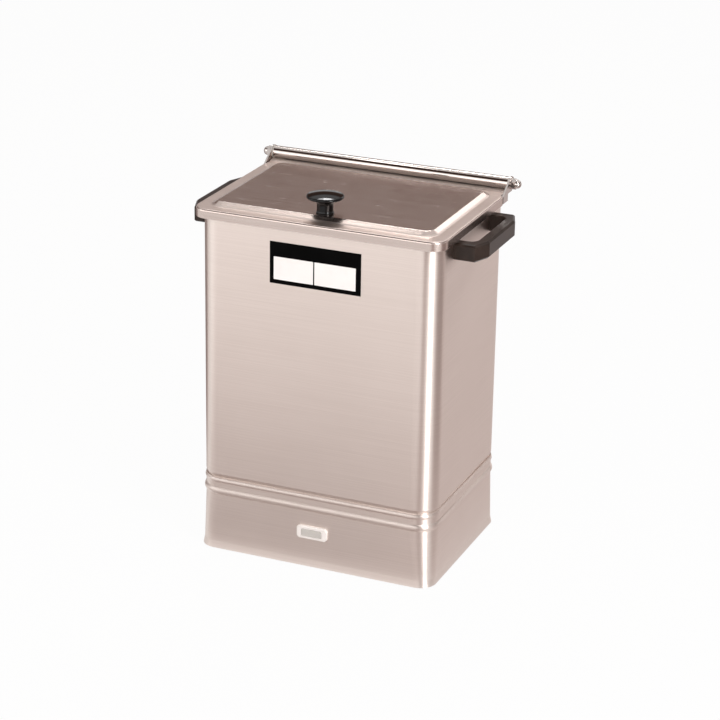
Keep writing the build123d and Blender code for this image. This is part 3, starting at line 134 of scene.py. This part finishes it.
class Sheet:
    """The node tree of one material or world, with short ways to add nodes."""

    def __init__(self, tree: bpy.types.NodeTree) -> None:
        """Empty a node tree and take it over."""
        self.tree = tree
        tree.nodes.clear()

    def node(
        self, kind: str, settings: Mapping[str, Any], inputs: Mapping[Any, Any]
    ) -> bpy.types.Node:
        """Add any node.

        Args:
            kind: the node's type name.
            settings: attributes, set before the inputs.
            inputs: socket name or index to a Flow, a socket or a plain value.

        Returns:
            The new node.
        """
        made = self.tree.nodes.new(kind)
        for name, value in settings.items():
            setattr(made, name, value)
        for name, value in inputs.items():
            self.feed(made.inputs[name], value)
        return made

    def feed(self, socket: bpy.types.NodeSocket, value: Any) -> None:
        """Link or set one input socket.

        Args:
            socket: the input socket.
            value: a Flow, a socket, a plain value, or None to leave it alone.
        """
        if isinstance(value, Flow):
            self.tree.links.new(value.socket, socket)
        elif isinstance(value, bpy.types.NodeSocket):
            self.tree.links.new(value, socket)
        elif value is not None:
            socket.default_value = value

    def place(self, cells: Triple) -> bpy.types.NodeSocket:
        """Object coordinates, stretched along each axis.

        Args:
            cells: the factor along X, Y and Z, in cells per metre.

        Returns:
            The stretched coordinates.
        """
        where = self.node("ShaderNodeTexCoord", {}, {})
        inputs = {0: where.outputs["Object"], 1: cells}
        return self.node("ShaderNodeVectorMath", {"operation": "MULTIPLY"}, inputs).outputs[0]

    def noise(self, cells: Triple, detail: float = 2.0, rough: float = 0.5) -> Flow:
        """A noise between 0 and 1.

        Args:
            cells: cells per metre along each axis.
            detail: how many finer layers are added.
            rough: the weight of the finer layers.

        Returns:
            The noise's value.
        """
        inputs = {"Vector": self.place(cells), "Scale": 1.0, "Detail": detail, "Roughness": rough}
        made = self.node("ShaderNodeTexNoise", {}, inputs)
        return Flow(self, made.outputs["Fac"])

    def axes(self, kind: str) -> tuple[Flow, Flow, Flow]:
        """The three parts of a coordinate.

        Args:
            kind: "Object" for a place in metres, "Generated" for a direction in a world.

        Returns:
            X, Y and Z.
        """
        where = self.node("ShaderNodeTexCoord", {}, {})
        parts = self.node("ShaderNodeSeparateXYZ", {}, {0: where.outputs[kind]})
        x, y, z = (Flow(self, parts.outputs[axis]) for axis in "XYZ")
        return x, y, z

    def azimuth(self, x: Flow, y: Flow) -> Flow:
        """Angle round the object in radians: 0 at the front, positive to the right.

        Args:
            x: the X part of a place or direction.
            y: its Y part.

        Returns:
            The angle.
        """
        made = self.node("ShaderNodeMath", {"operation": "ARCTAN2"}, {0: x, 1: y * -1.0})
        return Flow(self, made.outputs[0])

    def spread(self, value: Flow, ramp: Ramp) -> Flow:
        """Map a number smoothly through a ramp.

        Args:
            value: the number.
            ramp: where it starts and stops, and what it gives there.

        Returns:
            The mapped number.
        """
        inputs = {
            "Value": value,
            "From Min": ramp.low,
            "From Max": ramp.high,
            "To Min": ramp.start,
            "To Max": ramp.stop,
        }
        made = self.node("ShaderNodeMapRange", {"interpolation_type": "SMOOTHSTEP"}, inputs)
        return Flow(self, made.outputs["Result"])

    def blend(self, share: Any, first: Colour, second: Colour) -> bpy.types.NodeSocket:
        """Mix two colours.

        Args:
            share: how much of the second colour, from 0 to 1.
            first: the colour at 0.
            second: the colour at 1.

        Returns:
            The mixed colour.
        """
        made = self.node("ShaderNodeMix", {"data_type": "RGBA"}, {})
        self.feed(made.inputs["Factor"], share)
        self.feed(made.inputs[MIX_COLOUR_A], rgba(first))
        self.feed(made.inputs[MIX_COLOUR_B], rgba(second))
        return made.outputs[MIX_COLOUR_OUT]

    def bump(self, relief: Flow, depth_mm: float, strength: float) -> bpy.types.NodeSocket:
        """Turn a relief into a surface normal.

        Args:
            relief: the height, from 0 to 1.
            depth_mm: what the whole height stands for.
            strength: how much of the bump is applied.

        Returns:
            The normal.
        """
        inputs = {"Height": relief, "Distance": depth_mm * MM, "Strength": strength}
        return self.node("ShaderNodeBump", {}, inputs).outputs["Normal"]

    def rays(self, *kinds: str) -> Flow:
        """Tell some kinds of rays from the rest.

        Args:
            *kinds: names of Light Path outputs, without "Is" and "Ray".

        Returns:
            1 for the named kinds and 0 for the rest.
        """
        path = self.node("ShaderNodeLightPath", {}, {})
        total = Flow(self, path.outputs[f"Is {kinds[0]} Ray"])
        for kind in kinds[1:]:
            total = total + Flow(self, path.outputs[f"Is {kind} Ray"])
        return self.spread(total, Ramp(0.0, 1.0))

    def surface(self, **inputs: Any) -> None:
        """Close the material with a Principled surface.

        Args:
            **inputs: socket names with _ for a space, each a plain value, a Flow or a socket.
        """
        made = self.node("ShaderNodeBsdfPrincipled", {}, {})
        for name, value in inputs.items():
            self.feed(made.inputs[name.replace("_", " ")], rgba(value))
        self.node("ShaderNodeOutputMaterial", {}, {"Surface": made.outputs[0]})


def rgba(value: Any) -> Any:
    """Give a three-part colour its alpha.

    Args:
        value: a colour, or anything else that feeds a socket.

    Returns:
        The colour with an alpha of 1, or the other value as it is.
    """
    if isinstance(value, tuple) and len(value) == 3:
        return (*value, 1.0)
    return value


# ---------------------------------------------------------------- finishes


class Grain(Enum):
    """The way a sheet was brushed, as noise cells per metre along X, Y and Z."""

    LEVEL = (7.0, 7.0, 1500.0)
    ACROSS = (7.0, 1100.0, 300.0)


@dataclass(frozen=True)
class Finish:
    """What every finish has: a name and the material that it makes."""

    name: str

    def sheet(self) -> tuple[bpy.types.Material, Sheet]:
        """Start a new material.

        Returns:
            The material and its empty sheet.
        """
        made = bpy.data.materials.new(self.name)
        made.use_nodes = True
        return made, Sheet(made.node_tree)

    def make(self) -> bpy.types.Material:
        """Build the material.

        Returns:
            The finished material.
        """
        raise NotImplementedError


@dataclass(frozen=True)
class BrushedSteel(Finish):
    """Satin stainless sheet with fine scratches along its grain.

    A pressed sheet can have a duller border, which lies between two heights in the frame.
    """

    # The default colours are the walls': lighter than the lid's and the hinge's of the same
    # stainless, as painted light.
    colour: Colour = (0.84, 0.74, 0.685)
    dark: Colour = (0.77, 0.67, 0.615)
    roughness: float = 0.30
    edge_roughness: float | None = None
    edge_heights: tuple[float, float] = (0.4017, 0.4026)
    edge_fades: tuple[float, float] = (0.3 * MM, 1.2 * MM)
    grain: Grain = Grain.LEVEL
    streak: float = 0.75
    stretch: float = 0.0
    stretch_turn: float = 0.25
    depth_mm: float = 0.02
    bumpiness: float = 0.35
    cloud_cells: float = 9.0
    haze_cells: float = 60.0
    scratch_swing: float = 0.10
    haze_swing: float = 0.05

    def make(self) -> bpy.types.Material:
        """Mix fine scratches, cloudy patches and a soft handling haze.

        Returns:
            The finished material.
        """
        made, sheet = self.sheet()
        scratches = sheet.noise(self.grain.value, 3.0, 0.6)
        clouds = sheet.noise((self.cloud_cells,) * 3, 3.0, 0.55)
        haze = sheet.noise((self.haze_cells,) * 3)
        tone = scratches * self.streak + clouds * (1.0 - self.streak)
        swing = (scratches - 0.5) * self.scratch_swing + (haze - 0.5) * self.haze_swing
        rough = swing + self.roughness
        if self.edge_roughness is not None:
            rough = rough + self.border(sheet) * (self.edge_roughness - self.roughness)
        sheet.surface(
            Base_Color=sheet.blend(sheet.spread(tone, Ramp(0.25, 0.75)), self.dark, self.colour),
            Metallic=1.0,
            Roughness=rough,
            Anisotropic=self.stretch,
            Anisotropic_Rotation=self.stretch_turn,
            Normal=sheet.bump(scratches, self.depth_mm, self.bumpiness),
        )
        return made

    def border(self, sheet: Sheet) -> Flow:
        """Find the duller border.

        Args:
            sheet: the sheet to build on.

        Returns:
            1 between the edge heights and 0 off them.
        """
        rise = sheet.axes("Object")[2]
        low, high = self.edge_heights
        fade_low, fade_high = self.edge_fades
        above = sheet.spread(rise, Ramp(low - fade_low, low))
        return above * sheet.spread(rise, Ramp(high, high + fade_high, 1.0, 0.0))


@dataclass(frozen=True)
class BrightMetal(Finish):
    """Polished or plated metal with a little handling haze."""

    colour: Colour
    roughness: float
    mottle: float = 0.06
    patch_cells: float = 140.0
    dullness: float = 0.88

    def make(self) -> bpy.types.Material:
        """Vary the roughness and the tone in small patches.

        Returns:
            The finished material.
        """
        made, sheet = self.sheet()
        patches = sheet.noise((self.patch_cells,) * 3, 3.0, 0.6)
        dull = tuple(part * self.dullness for part in self.colour)
        sheet.surface(
            Base_Color=sheet.blend(patches, dull, self.colour),
            Metallic=1.0,
            Roughness=patches * self.mottle + self.roughness,
        )
        return made


@dataclass(frozen=True)
class Moulded(Finish):
    """Moulded plastic, phenolic or rubber with a fine surface grain."""

    colour: Colour
    worn: Colour
    roughness: float = 0.45
    grain_cells: float = 1600.0
    depth_mm: float = 0.03
    shine: float = 0.5
    bumpiness: float = 0.4
    rubbed_cells: float = 45.0
    rubbed_swing: float = 0.12
    grain_swing: float = 0.06

    def make(self) -> bpy.types.Material:
        """Mix a fine grain with larger rubbed patches.

        Returns:
            The finished material.
        """
        made, sheet = self.sheet()
        fine = sheet.noise((self.grain_cells,) * 3)
        rubbed = sheet.noise((self.rubbed_cells,) * 3, 4.0, 0.6)
        swing = (rubbed - 0.5) * self.rubbed_swing + (fine - 0.5) * self.grain_swing
        sheet.surface(
            Base_Color=sheet.blend(sheet.spread(rubbed, Ramp(0.35, 0.75)), self.colour, self.worn),
            Roughness=swing + self.roughness,
            Specular_IOR_Level=self.shine,
            Normal=sheet.bump(fine, self.depth_mm, self.bumpiness),
        )
        return made


@dataclass(frozen=True)
class Clear(Finish):
    """Clear or smoked plastic and glass."""

    colour: Colour
    roughness: float
    see_through: float
    haze_cells: float = 400.0
    haze_swing: float = 0.06
    index: float = 1.49

    def make(self) -> bpy.types.Material:
        """Let part of the light through, with a faint haze.

        Returns:
            The finished material.
        """
        made, sheet = self.sheet()
        haze = sheet.noise((self.haze_cells,) * 3)
        sheet.surface(
            Base_Color=self.colour,
            Roughness=haze * self.haze_swing + self.roughness,
            Transmission_Weight=self.see_through,
            IOR=self.index,
        )
        return made


# The walls keep the lighter default colours, which paint light on them.
STAINLESS = BrushedSteel("stainless_walls", stretch=0.88, roughness=0.40)
LID_STEEL = BrushedSteel(
    "stainless_lid",
    colour=(0.65, 0.55, 0.505),
    dark=(0.58, 0.48, 0.435),
    grain=Grain.ACROSS,
    roughness=0.25,
    edge_roughness=0.40,
    depth_mm=0.002,
)
HINGE_STEEL = BrushedSteel(
    "stainless_hinge",
    colour=(0.64, 0.57, 0.535),
    dark=(0.58, 0.51, 0.475),
    roughness=0.10,
    edge_roughness=0.48,
    edge_heights=(0.4000, 0.4042),
    depth_mm=0.002,
)
GLOSS_PHENOLIC = Moulded(
    "gloss_phenolic",
    (0.003, 0.002, 0.002),
    (0.004, 0.003, 0.003),
    roughness=0.07,
    grain_cells=900.0,
    depth_mm=0.002,
    shine=0.26,
)
MATTE_PHENOLIC = Moulded(
    "matte_phenolic", (0.020, 0.013, 0.010), (0.036, 0.023, 0.018), roughness=0.30, shine=0.24
)
FOOT_RUBBER = Moulded(
    "foot_rubber",
    (0.03, 0.03, 0.03),
    (0.06, 0.058, 0.055),
    roughness=0.75,
    grain_cells=1200.0,
    depth_mm=0.06,
)
LABEL_BLACK = Moulded(
    "label_black",
    (0.001, 0.001, 0.001),
    (0.002, 0.002, 0.002),
    roughness=0.45,
    grain_cells=2200.0,
    depth_mm=0.01,
    shine=0.03,
)
FIELD_WHITE = Moulded(
    "field_white",
    (0.90, 0.88, 0.86),
    (0.86, 0.84, 0.82),
    roughness=0.35,
    grain_cells=2200.0,
    depth_mm=0.01,
)
PILOT_WHITE = Moulded(
    "pilot_white",
    (0.86, 0.83, 0.80),
    (0.80, 0.77, 0.74),
    roughness=0.30,
    grain_cells=1500.0,
    depth_mm=0.01,
)
HEAT_LEAD = Moulded(
    "heat_lead",
    (0.72, 0.69, 0.62),
    (0.60, 0.56, 0.50),
    roughness=0.8,
    grain_cells=1800.0,
    depth_mm=0.15,
)

FINISHES: dict[str, Finish] = {
    "brushed_stainless": STAINLESS,
    "polished_stainless": BrightMetal("polished_stainless", (0.62, 0.56, 0.53), 0.09, 0.04),
    "rack_wire": BrightMetal("rack_wire", (0.76, 0.74, 0.72), 0.16),
    "gloss_phenolic": GLOSS_PHENOLIC,
    "matte_phenolic": MATTE_PHENOLIC,
    "foot_rubber": FOOT_RUBBER,
    "zinc_plate": BrightMetal("zinc_plate", (0.62, 0.62, 0.63), 0.32, 0.15),
    "label_black": LABEL_BLACK,
    "pilot_white": PILOT_WHITE,
    "pilot_clear": Clear("pilot_clear", (0.76, 0.74, 0.70), 0.14, 0.3),
    "lamp_glass": Clear("lamp_glass", (0.95, 0.85, 0.75), 0.05, 0.8),
    "bush_nylon": Moulded("bush_nylon", (0.80, 0.79, 0.74), (0.74, 0.72, 0.66), 0.40),
    "element_sheath": BrightMetal("element_sheath", (0.30, 0.28, 0.25), 0.45, 0.2),
    "copper": BrightMetal("copper", (0.80, 0.47, 0.32), 0.25, 0.15),
    "brass": BrightMetal("brass", (0.78, 0.62, 0.33), 0.24, 0.12),
    "dark_moulding": Moulded("dark_moulding", (0.03, 0.03, 0.03), (0.05, 0.05, 0.05), 0.5),
    "heat_lead": HEAT_LEAD,
    "pilot_lead": Moulded("pilot_lead", (0.04, 0.04, 0.04), (0.06, 0.06, 0.06), 0.5),
    "earth_lead": Moulded("earth_lead", (0.08, 0.35, 0.10), (0.10, 0.42, 0.13), 0.5),
}
OWN_FINISHES: dict[str, Finish] = {"lid_panel": LID_STEEL, "hinge_tube": HINGE_STEEL}


@dataclass(frozen=True)
class Bodywork:
    """Every CAD node in the finish of its material slot, apart from a few with their own."""

    by_slot: Mapping[str, Finish]
    by_node: Mapping[str, Finish]

    def build(self) -> None:
        """Dress all the nodes."""
        common = {slot: finish.make() for slot, finish in self.by_slot.items()}
        special = {node: finish.make() for node, finish in self.by_node.items()}
        for entry in frame["record"]["subparts"]:
            node = entry["node"]
            self.dress(node, special.get(node) or common[entry["material_slot"]])
        count = len(common) + len(special)
        LOG.info("bodywork: %d nodes in %d finishes", len(frame["nodes"]), count)

    def dress(self, node: str, material: bpy.types.Material) -> None:
        """Give one CAD node its material.

        Args:
            node: the node's name.
            material: the only material that it keeps.
        """
        slots = frame["nodes"][node].data.materials
        slots.clear()
        slots.append(material)


# ---------------------------------------------------------------- pieces


def new_piece(
    name: str, shape: bmesh.types.BMesh, material: bpy.types.Material, body: str
) -> None:
    """Turn a bmesh into a piece that rides on a body.

    Args:
        name: the piece's name.
        shape: its mesh, in metres in the frame. It is freed.
        material: its material.
        body: the CAD body that it rides on.
    """
    mesh = bpy.data.meshes.new(name)
    shape.to_mesh(mesh)
    shape.free()
    mesh.materials.append(material)
    piece = bpy.data.objects.new(name, mesh)
    bpy.context.scene.collection.objects.link(piece)
    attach(piece, body)


def rounded_loop(width: float, height: float, radius: float) -> list[tuple[float, float]]:
    """Points round a rectangle with round corners, centred on the origin.

    Args:
        width: its size across.
        height: its size upwards.
        radius: the radius of its corners.

    Returns:
        The points, anticlockwise from the right.
    """
    points = []
    for turn, (sx, sz) in enumerate(((1, 1), (-1, 1), (-1, -1), (1, -1))):
        for step in range(CORNER_STEPS + 1):
            angle = math.radians(90 * (turn + step / CORNER_STEPS))
            x = sx * (width / 2 - radius) + radius * math.cos(angle)
            points.append((x, sz * (height / 2 - radius) + radius * math.sin(angle)))
    return points


@dataclass(frozen=True)
class NamePlate:
    """The plain black plate with its two bare white fields, in shares of the plate's size."""

    columns: tuple[tuple[float, float], ...] = ((0.044, 0.480), (0.494, 0.946))
    rows: tuple[float, float] = (0.10, 0.645)
    lift: float = 0.06 * MM
    corner: float = 0.5 * MM

    def build(self) -> None:
        """Lay the white fields on the plate."""
        white = FIELD_WHITE.make()
        for number, column in enumerate(self.columns, 1):
            new_piece(f"plate_field_{number}", self.field(column), white, UNIT)
        LOG.info("name plate: %d bare fields", len(self.columns))

    def field(self, column: tuple[float, float]) -> bmesh.types.BMesh:
        """Make one raised field.

        Args:
            column: its left and right edges, as shares of the plate's width.

        Returns:
            Its mesh: a thin slab that stands half out of the plate's face.
        """
        low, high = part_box("label_plate")
        left, right = column
        wide, tall = high.x - low.x, high.z - low.z
        across = low.x + wide * (left + right) / 2
        centre = Vector((across, low.y, low.z + tall * sum(self.rows) / 2))
        loop = rounded_loop(
            wide * (right - left), tall * (self.rows[1] - self.rows[0]), self.corner
        )
        shape = bmesh.new()
        front = [shape.verts.new(centre + Vector((x, -self.lift, z))) for x, z in loop]
        back = [shape.verts.new(centre + Vector((x, self.lift, z))) for x, z in loop]
        shape.faces.new(front)
        shape.faces.new(list(reversed(back)))
        for here in range(len(loop)):
            there = (here + 1) % len(loop)
            shape.faces.new((front[there], front[here], back[here], back[there]))
        bmesh.ops.recalc_face_normals(shape, faces=shape.faces)
        return shape


# ---------------------------------------------------------------- studio


@dataclass(frozen=True)
class Softbox:
    """One soft lamp, aimed at a point."""

    name: str
    place: Triple
    aim: Triple
    size: tuple[float, float]
    power: float

    def build(self) -> None:
        """Add the lamp to the scene."""
        data = bpy.data.lights.new(self.name, "AREA")
        data.shape = "RECTANGLE"
        data.size, data.size_y = self.size
        data.energy = self.power
        lamp = bpy.data.objects.new(self.name, data)
        lamp.location = self.place
        away = Vector(self.place) - Vector(self.aim)
        lamp.rotation_mode = "QUATERNION"
        lamp.rotation_quaternion = away.to_track_quat("Z", "Y")
        bpy.context.scene.collection.objects.link(lamp)


LAMPS = (
    Softbox("key_overhead", (0.9, -0.7, 2.5), (0.0, 0.0, 0.3), (1.0, 1.0), 10.0),
    Softbox("right_strip", (1.87, -1.17, 0.95), (0.0, 0.0, 0.2), (0.66, 1.9), 33.0),
    Softbox("front_bank", (-0.62, -1.35, 0.85), (0.0, 0.0, 0.38), (3.0, 1.1), 12.3),
    Softbox("rear_right", (0.53, 2.60, 1.75), (0.0, 0.0, 0.4), (1.1, 0.6), 5.4),
    Softbox("rear_top", (-0.57, 1.84, 2.65), (0.0, 0.0, 0.4), (0.70, 0.30), 11.5),
    Softbox("overhead_left", (-0.80, 0.02, 2.50), (0.0, 0.0, 0.4), (0.50, 0.12), 0.8),
    Softbox("rear_left", (-1.07, 1.62, 2.60), (0.0, 0.0, 0.4), (0.40, 0.25), 2.6),
)


@dataclass(frozen=True)
class Flag:
    """A dark screen round the object, between two azimuths in degrees."""

    start: float
    stop: float
    depth: float
    soft: float = 6.0

    def cover(self, sheet: Sheet, angle: Flow) -> Flow:
        """How much the flag darkens one azimuth.

        Args:
            sheet: the sheet to build on.
            angle: the azimuth in radians.

        Returns:
            The flag's depth behind it, and 0 clear of it.
        """
        start, stop, soft = (math.radians(part) for part in (self.start, self.stop, self.soft))
        rise = sheet.spread(angle, Ramp(start - soft, start + soft, 0.0, self.depth))
        return rise * sheet.spread(angle, Ramp(stop - soft, stop + soft, 1.0, 0.0))


FLAGS = (Flag(-190.0, -94.0, 0.75), Flag(22.0, 40.0, 0.5), Flag(82.0, 122.0, 0.5))


def flagged(sheet: Sheet, x: Flow, y: Flow) -> Flow:
    """How much all the flags darken one direction.

    Args:
        sheet: the sheet to build on.
        x: the X part of the direction.
        y: its Y part.

    Returns:
        0 where the studio is open, and a flag's depth behind it.
    """
    angle = sheet.azimuth(x, y)
    first, *others = (flag.cover(sheet, angle) for flag in FLAGS)
    return sum(others, first)


@dataclass(frozen=True)
class Floor:
    """The pale floor: white to the camera, with a light shadow, and dimmer in the sheet's mirror,
    where shade is painted.

    The sheet mirrors a floor with painted shade on it, which the camera never sees: darker and
    warmer in front of the object, most of all close to it, darker and warmer to its right, and
    darker behind the flags.
    Lengths are in metres in the frame.
    """

    size: float = 60.0
    white: float = 0.96
    grey: float = 0.70
    clear_of_object: Ramp = Ramp(0.30, 0.60)
    wall_front: float = 0.11
    mirror_slant: float = 0.414
    front_far: Ramp = Ramp(-1.05, -0.22, 0.0, 0.69)
    front_close: Ramp = Ramp(-0.135, -0.105, 1.0, 0.0)
    front_sides: Ramp = Ramp(0.24, 0.50, 1.0, 0.0)
    front_right: Ramp = Ramp(0.02, 0.17, 1.0, 0.84)
    right_close: Ramp = Ramp(0.10, 0.18, 0.0, 0.32)
    right_rear: Ramp = Ramp(-0.12, -0.06)
    warmth: Ramp = Ramp(0.4, 1.0, 1.0, 0.0)
    warm: Colour = (1.0, 0.79, 0.75)

    def build(self) -> None:
        """Add the floor and stage it."""
        half = self.size / 2
        corners = [(-half, -half, 0), (half, -half, 0), (half, half, 0), (-half, half, 0)]
        mesh = bpy.data.meshes.new("floor")
        mesh.from_pydata(corners, [], [(0, 1, 2, 3)])
        mesh.materials.append(self.material())
        floor = bpy.data.objects.new("floor", mesh)
        bpy.context.scene.collection.objects.link(floor)

    def material(self) -> bpy.types.Material:
        """Mix a plain grey surface with the white that camera and mirrors see, and the painted
        shade that only mirrors see.

        Returns:
            The finished material.
        """
        made = bpy.data.materials.new("pale_floor")
        made.use_nodes = True
        sheet = Sheet(made.node_tree)
        mirrored = self.mirrored(sheet)
        glossy = sheet.rays("Glossy")
        level = 1.0 - glossy + glossy * mirrored
        # Painted warm shade: the mirrored floor turns warmer where it is dimmed.
        tint = sheet.blend(glossy * sheet.spread(mirrored, self.warmth), WHITE, self.warm)
        plain = sheet.node("ShaderNodeBsdfDiffuse", {}, {"Color": rgba((self.grey,) * 3)})
        glow = sheet.node("ShaderNodeEmission", {}, {"Color": tint, "Strength": level})
        inputs = {0: sheet.rays(*SEEN_RAYS) * self.white, 1: plain.outputs[0], 2: glow.outputs[0]}
        mixed = sheet.node("ShaderNodeMixShader", {}, inputs)
        sheet.node("ShaderNodeOutputMaterial", {}, {"Surface": mixed.outputs[0]})
        return made

    def mirrored(self, sheet: Sheet) -> Flow:
        """How bright the floor shows in the sheet, with its painted shade.

        Args:
            sheet: the sheet to build on.

        Returns:
            1 for a white floor, less where shade is painted.
        """
        x, y, _ = sheet.axes("Object")
        away = sheet.spread((x * x + y * y) ** 0.5, self.clear_of_object)
        aside = x - (y + self.wall_front) * self.mirror_slant
        # Painted shade in front of the object, strongest close to it and fading further out.
        front = sheet.spread(y, self.front_far) * sheet.spread(y, self.front_close)
        front = front * sheet.spread((aside * aside) ** 0.5, self.front_sides)
        front = front * sheet.spread(aside, self.front_right)
        # Painted shade to the right of the object.
        right = sheet.spread(x, self.right_close) * sheet.spread(y, self.right_rear)
        return (1.0 - front) * (1.0 - right) * (1.0 - flagged(sheet, x, y) * away)


@dataclass(frozen=True)
class Surroundings:
    """White near the horizon, a dark band above it and a pale ceiling behind.

    Heights are the Z part of a direction, from 0 at the horizon to 1 overhead.
    """

    rear: Ramp = Ramp(-0.36, 0.05, 0.05, 1.0)
    horizon: Ramp = Ramp(0.12, 0.24, 1.0, 0.0)
    front_drop: float = 0.24
    flag_share: float = 0.5
    ceiling: Ramp = Ramp(0.44, 0.60, 0.0, 0.70)
    dusk: Ramp = Ramp(0.05, 1.0, 0.02, 0.165)
    whitening: Ramp = Ramp(0.0, 0.3)
    warm: Colour = (1.0, 0.60, 0.48)
    plain_light: float = 0.42

    def build(self) -> None:
        """Make the world, with a plainer light for rays that nobody sees."""
        world = bpy.data.worlds.new("pale_studio")
        bpy.context.scene.world = world
        world.use_nodes = True
        sheet = Sheet(world.node_tree)
        x, y, rise = sheet.axes("Generated")
        rear = sheet.spread(y, self.rear)
        horizon = sheet.spread(rise - (1.0 - rear) * self.front_drop, self.horizon)
        horizon = horizon * (1.0 - flagged(sheet, x, y) * self.flag_share)
        light = horizon + sheet.spread(rise, self.ceiling) * rear
        dusk = sheet.spread(rear, self.dusk)
        colour = sheet.blend(sheet.spread(light, self.whitening), self.warm, WHITE)
        seen = sheet.rays(*SEEN_RAYS)
        strength = seen * (light + dusk) + (1.0 - seen) * self.plain_light
        inputs = {"Color": colour, "Strength": strength}
        back = sheet.node("ShaderNodeBackground", {}, inputs)
        sheet.node("ShaderNodeOutputWorld", {}, {"Surface": back.outputs[0]})


@dataclass(frozen=True)
class Viewpoint:
    """The camera, from its place and its yaw, pitch and roll in degrees."""

    place: Triple = (0.9726, -2.317, 1.1797)
    yaw: float = 22.564
    pitch: float = 21.062
    roll: float = 1.011
    lens: float = 120.28
    sensor: float = 36.0
    clip: tuple[float, float] = (0.05, 200.0)

    def build(self) -> None:
        """Add the camera and make it the scene's own."""
        data = bpy.data.cameras.new("camera")
        data.lens, data.sensor_width = self.lens, self.sensor
        data.clip_start, data.clip_end = self.clip
        camera = bpy.data.objects.new("camera", data)
        camera.matrix_world = Matrix.Translation(self.place) @ self.turn()
        bpy.context.scene.collection.objects.link(camera)
        bpy.context.scene.camera = camera

    def turn(self) -> Matrix:
        """Work out the camera's rotation.

        Returns:
            A 4 x 4 matrix whose columns are the camera's right, up and back.
        """
        yaw, pitch, roll = (math.radians(angle) for angle in (self.yaw, self.pitch, self.roll))
        right = Vector((math.cos(yaw), math.sin(yaw), 0.0))
        level = Vector((math.sin(yaw), -math.cos(yaw), 0.0))
        back = level * math.cos(pitch) + Vector((0.0, 0.0, math.sin(pitch)))
        up = back.cross(right)
        turned_right = right * math.cos(roll) + up * math.sin(roll)
        turned_up = up * math.cos(roll) - right * math.sin(roll)
        return Matrix((turned_right, turned_up, back)).transposed().to_4x4()


@dataclass(frozen=True)
class Studio:
    """Camera, floor, surroundings and soft lamps."""

    lamps: tuple[Softbox, ...]

    def build(self) -> None:
        """Set up everything round the object."""
        for part in (Viewpoint(), Floor(), Surroundings(), *self.lamps):
            part.build()
        bpy.context.scene.view_settings.view_transform = "Standard"
        LOG.info("studio: camera, floor, %d soft lamps", len(self.lamps))


def main() -> None:
    """Dress the frame, add the pieces and set up the studio."""
    logging.basicConfig(level=logging.INFO, format="%(message)s")
    Bodywork(FINISHES, OWN_FINISHES).build()
    NamePlate().build()
    Studio(LAMPS).build()


if __name__ == "__main__":
    main()
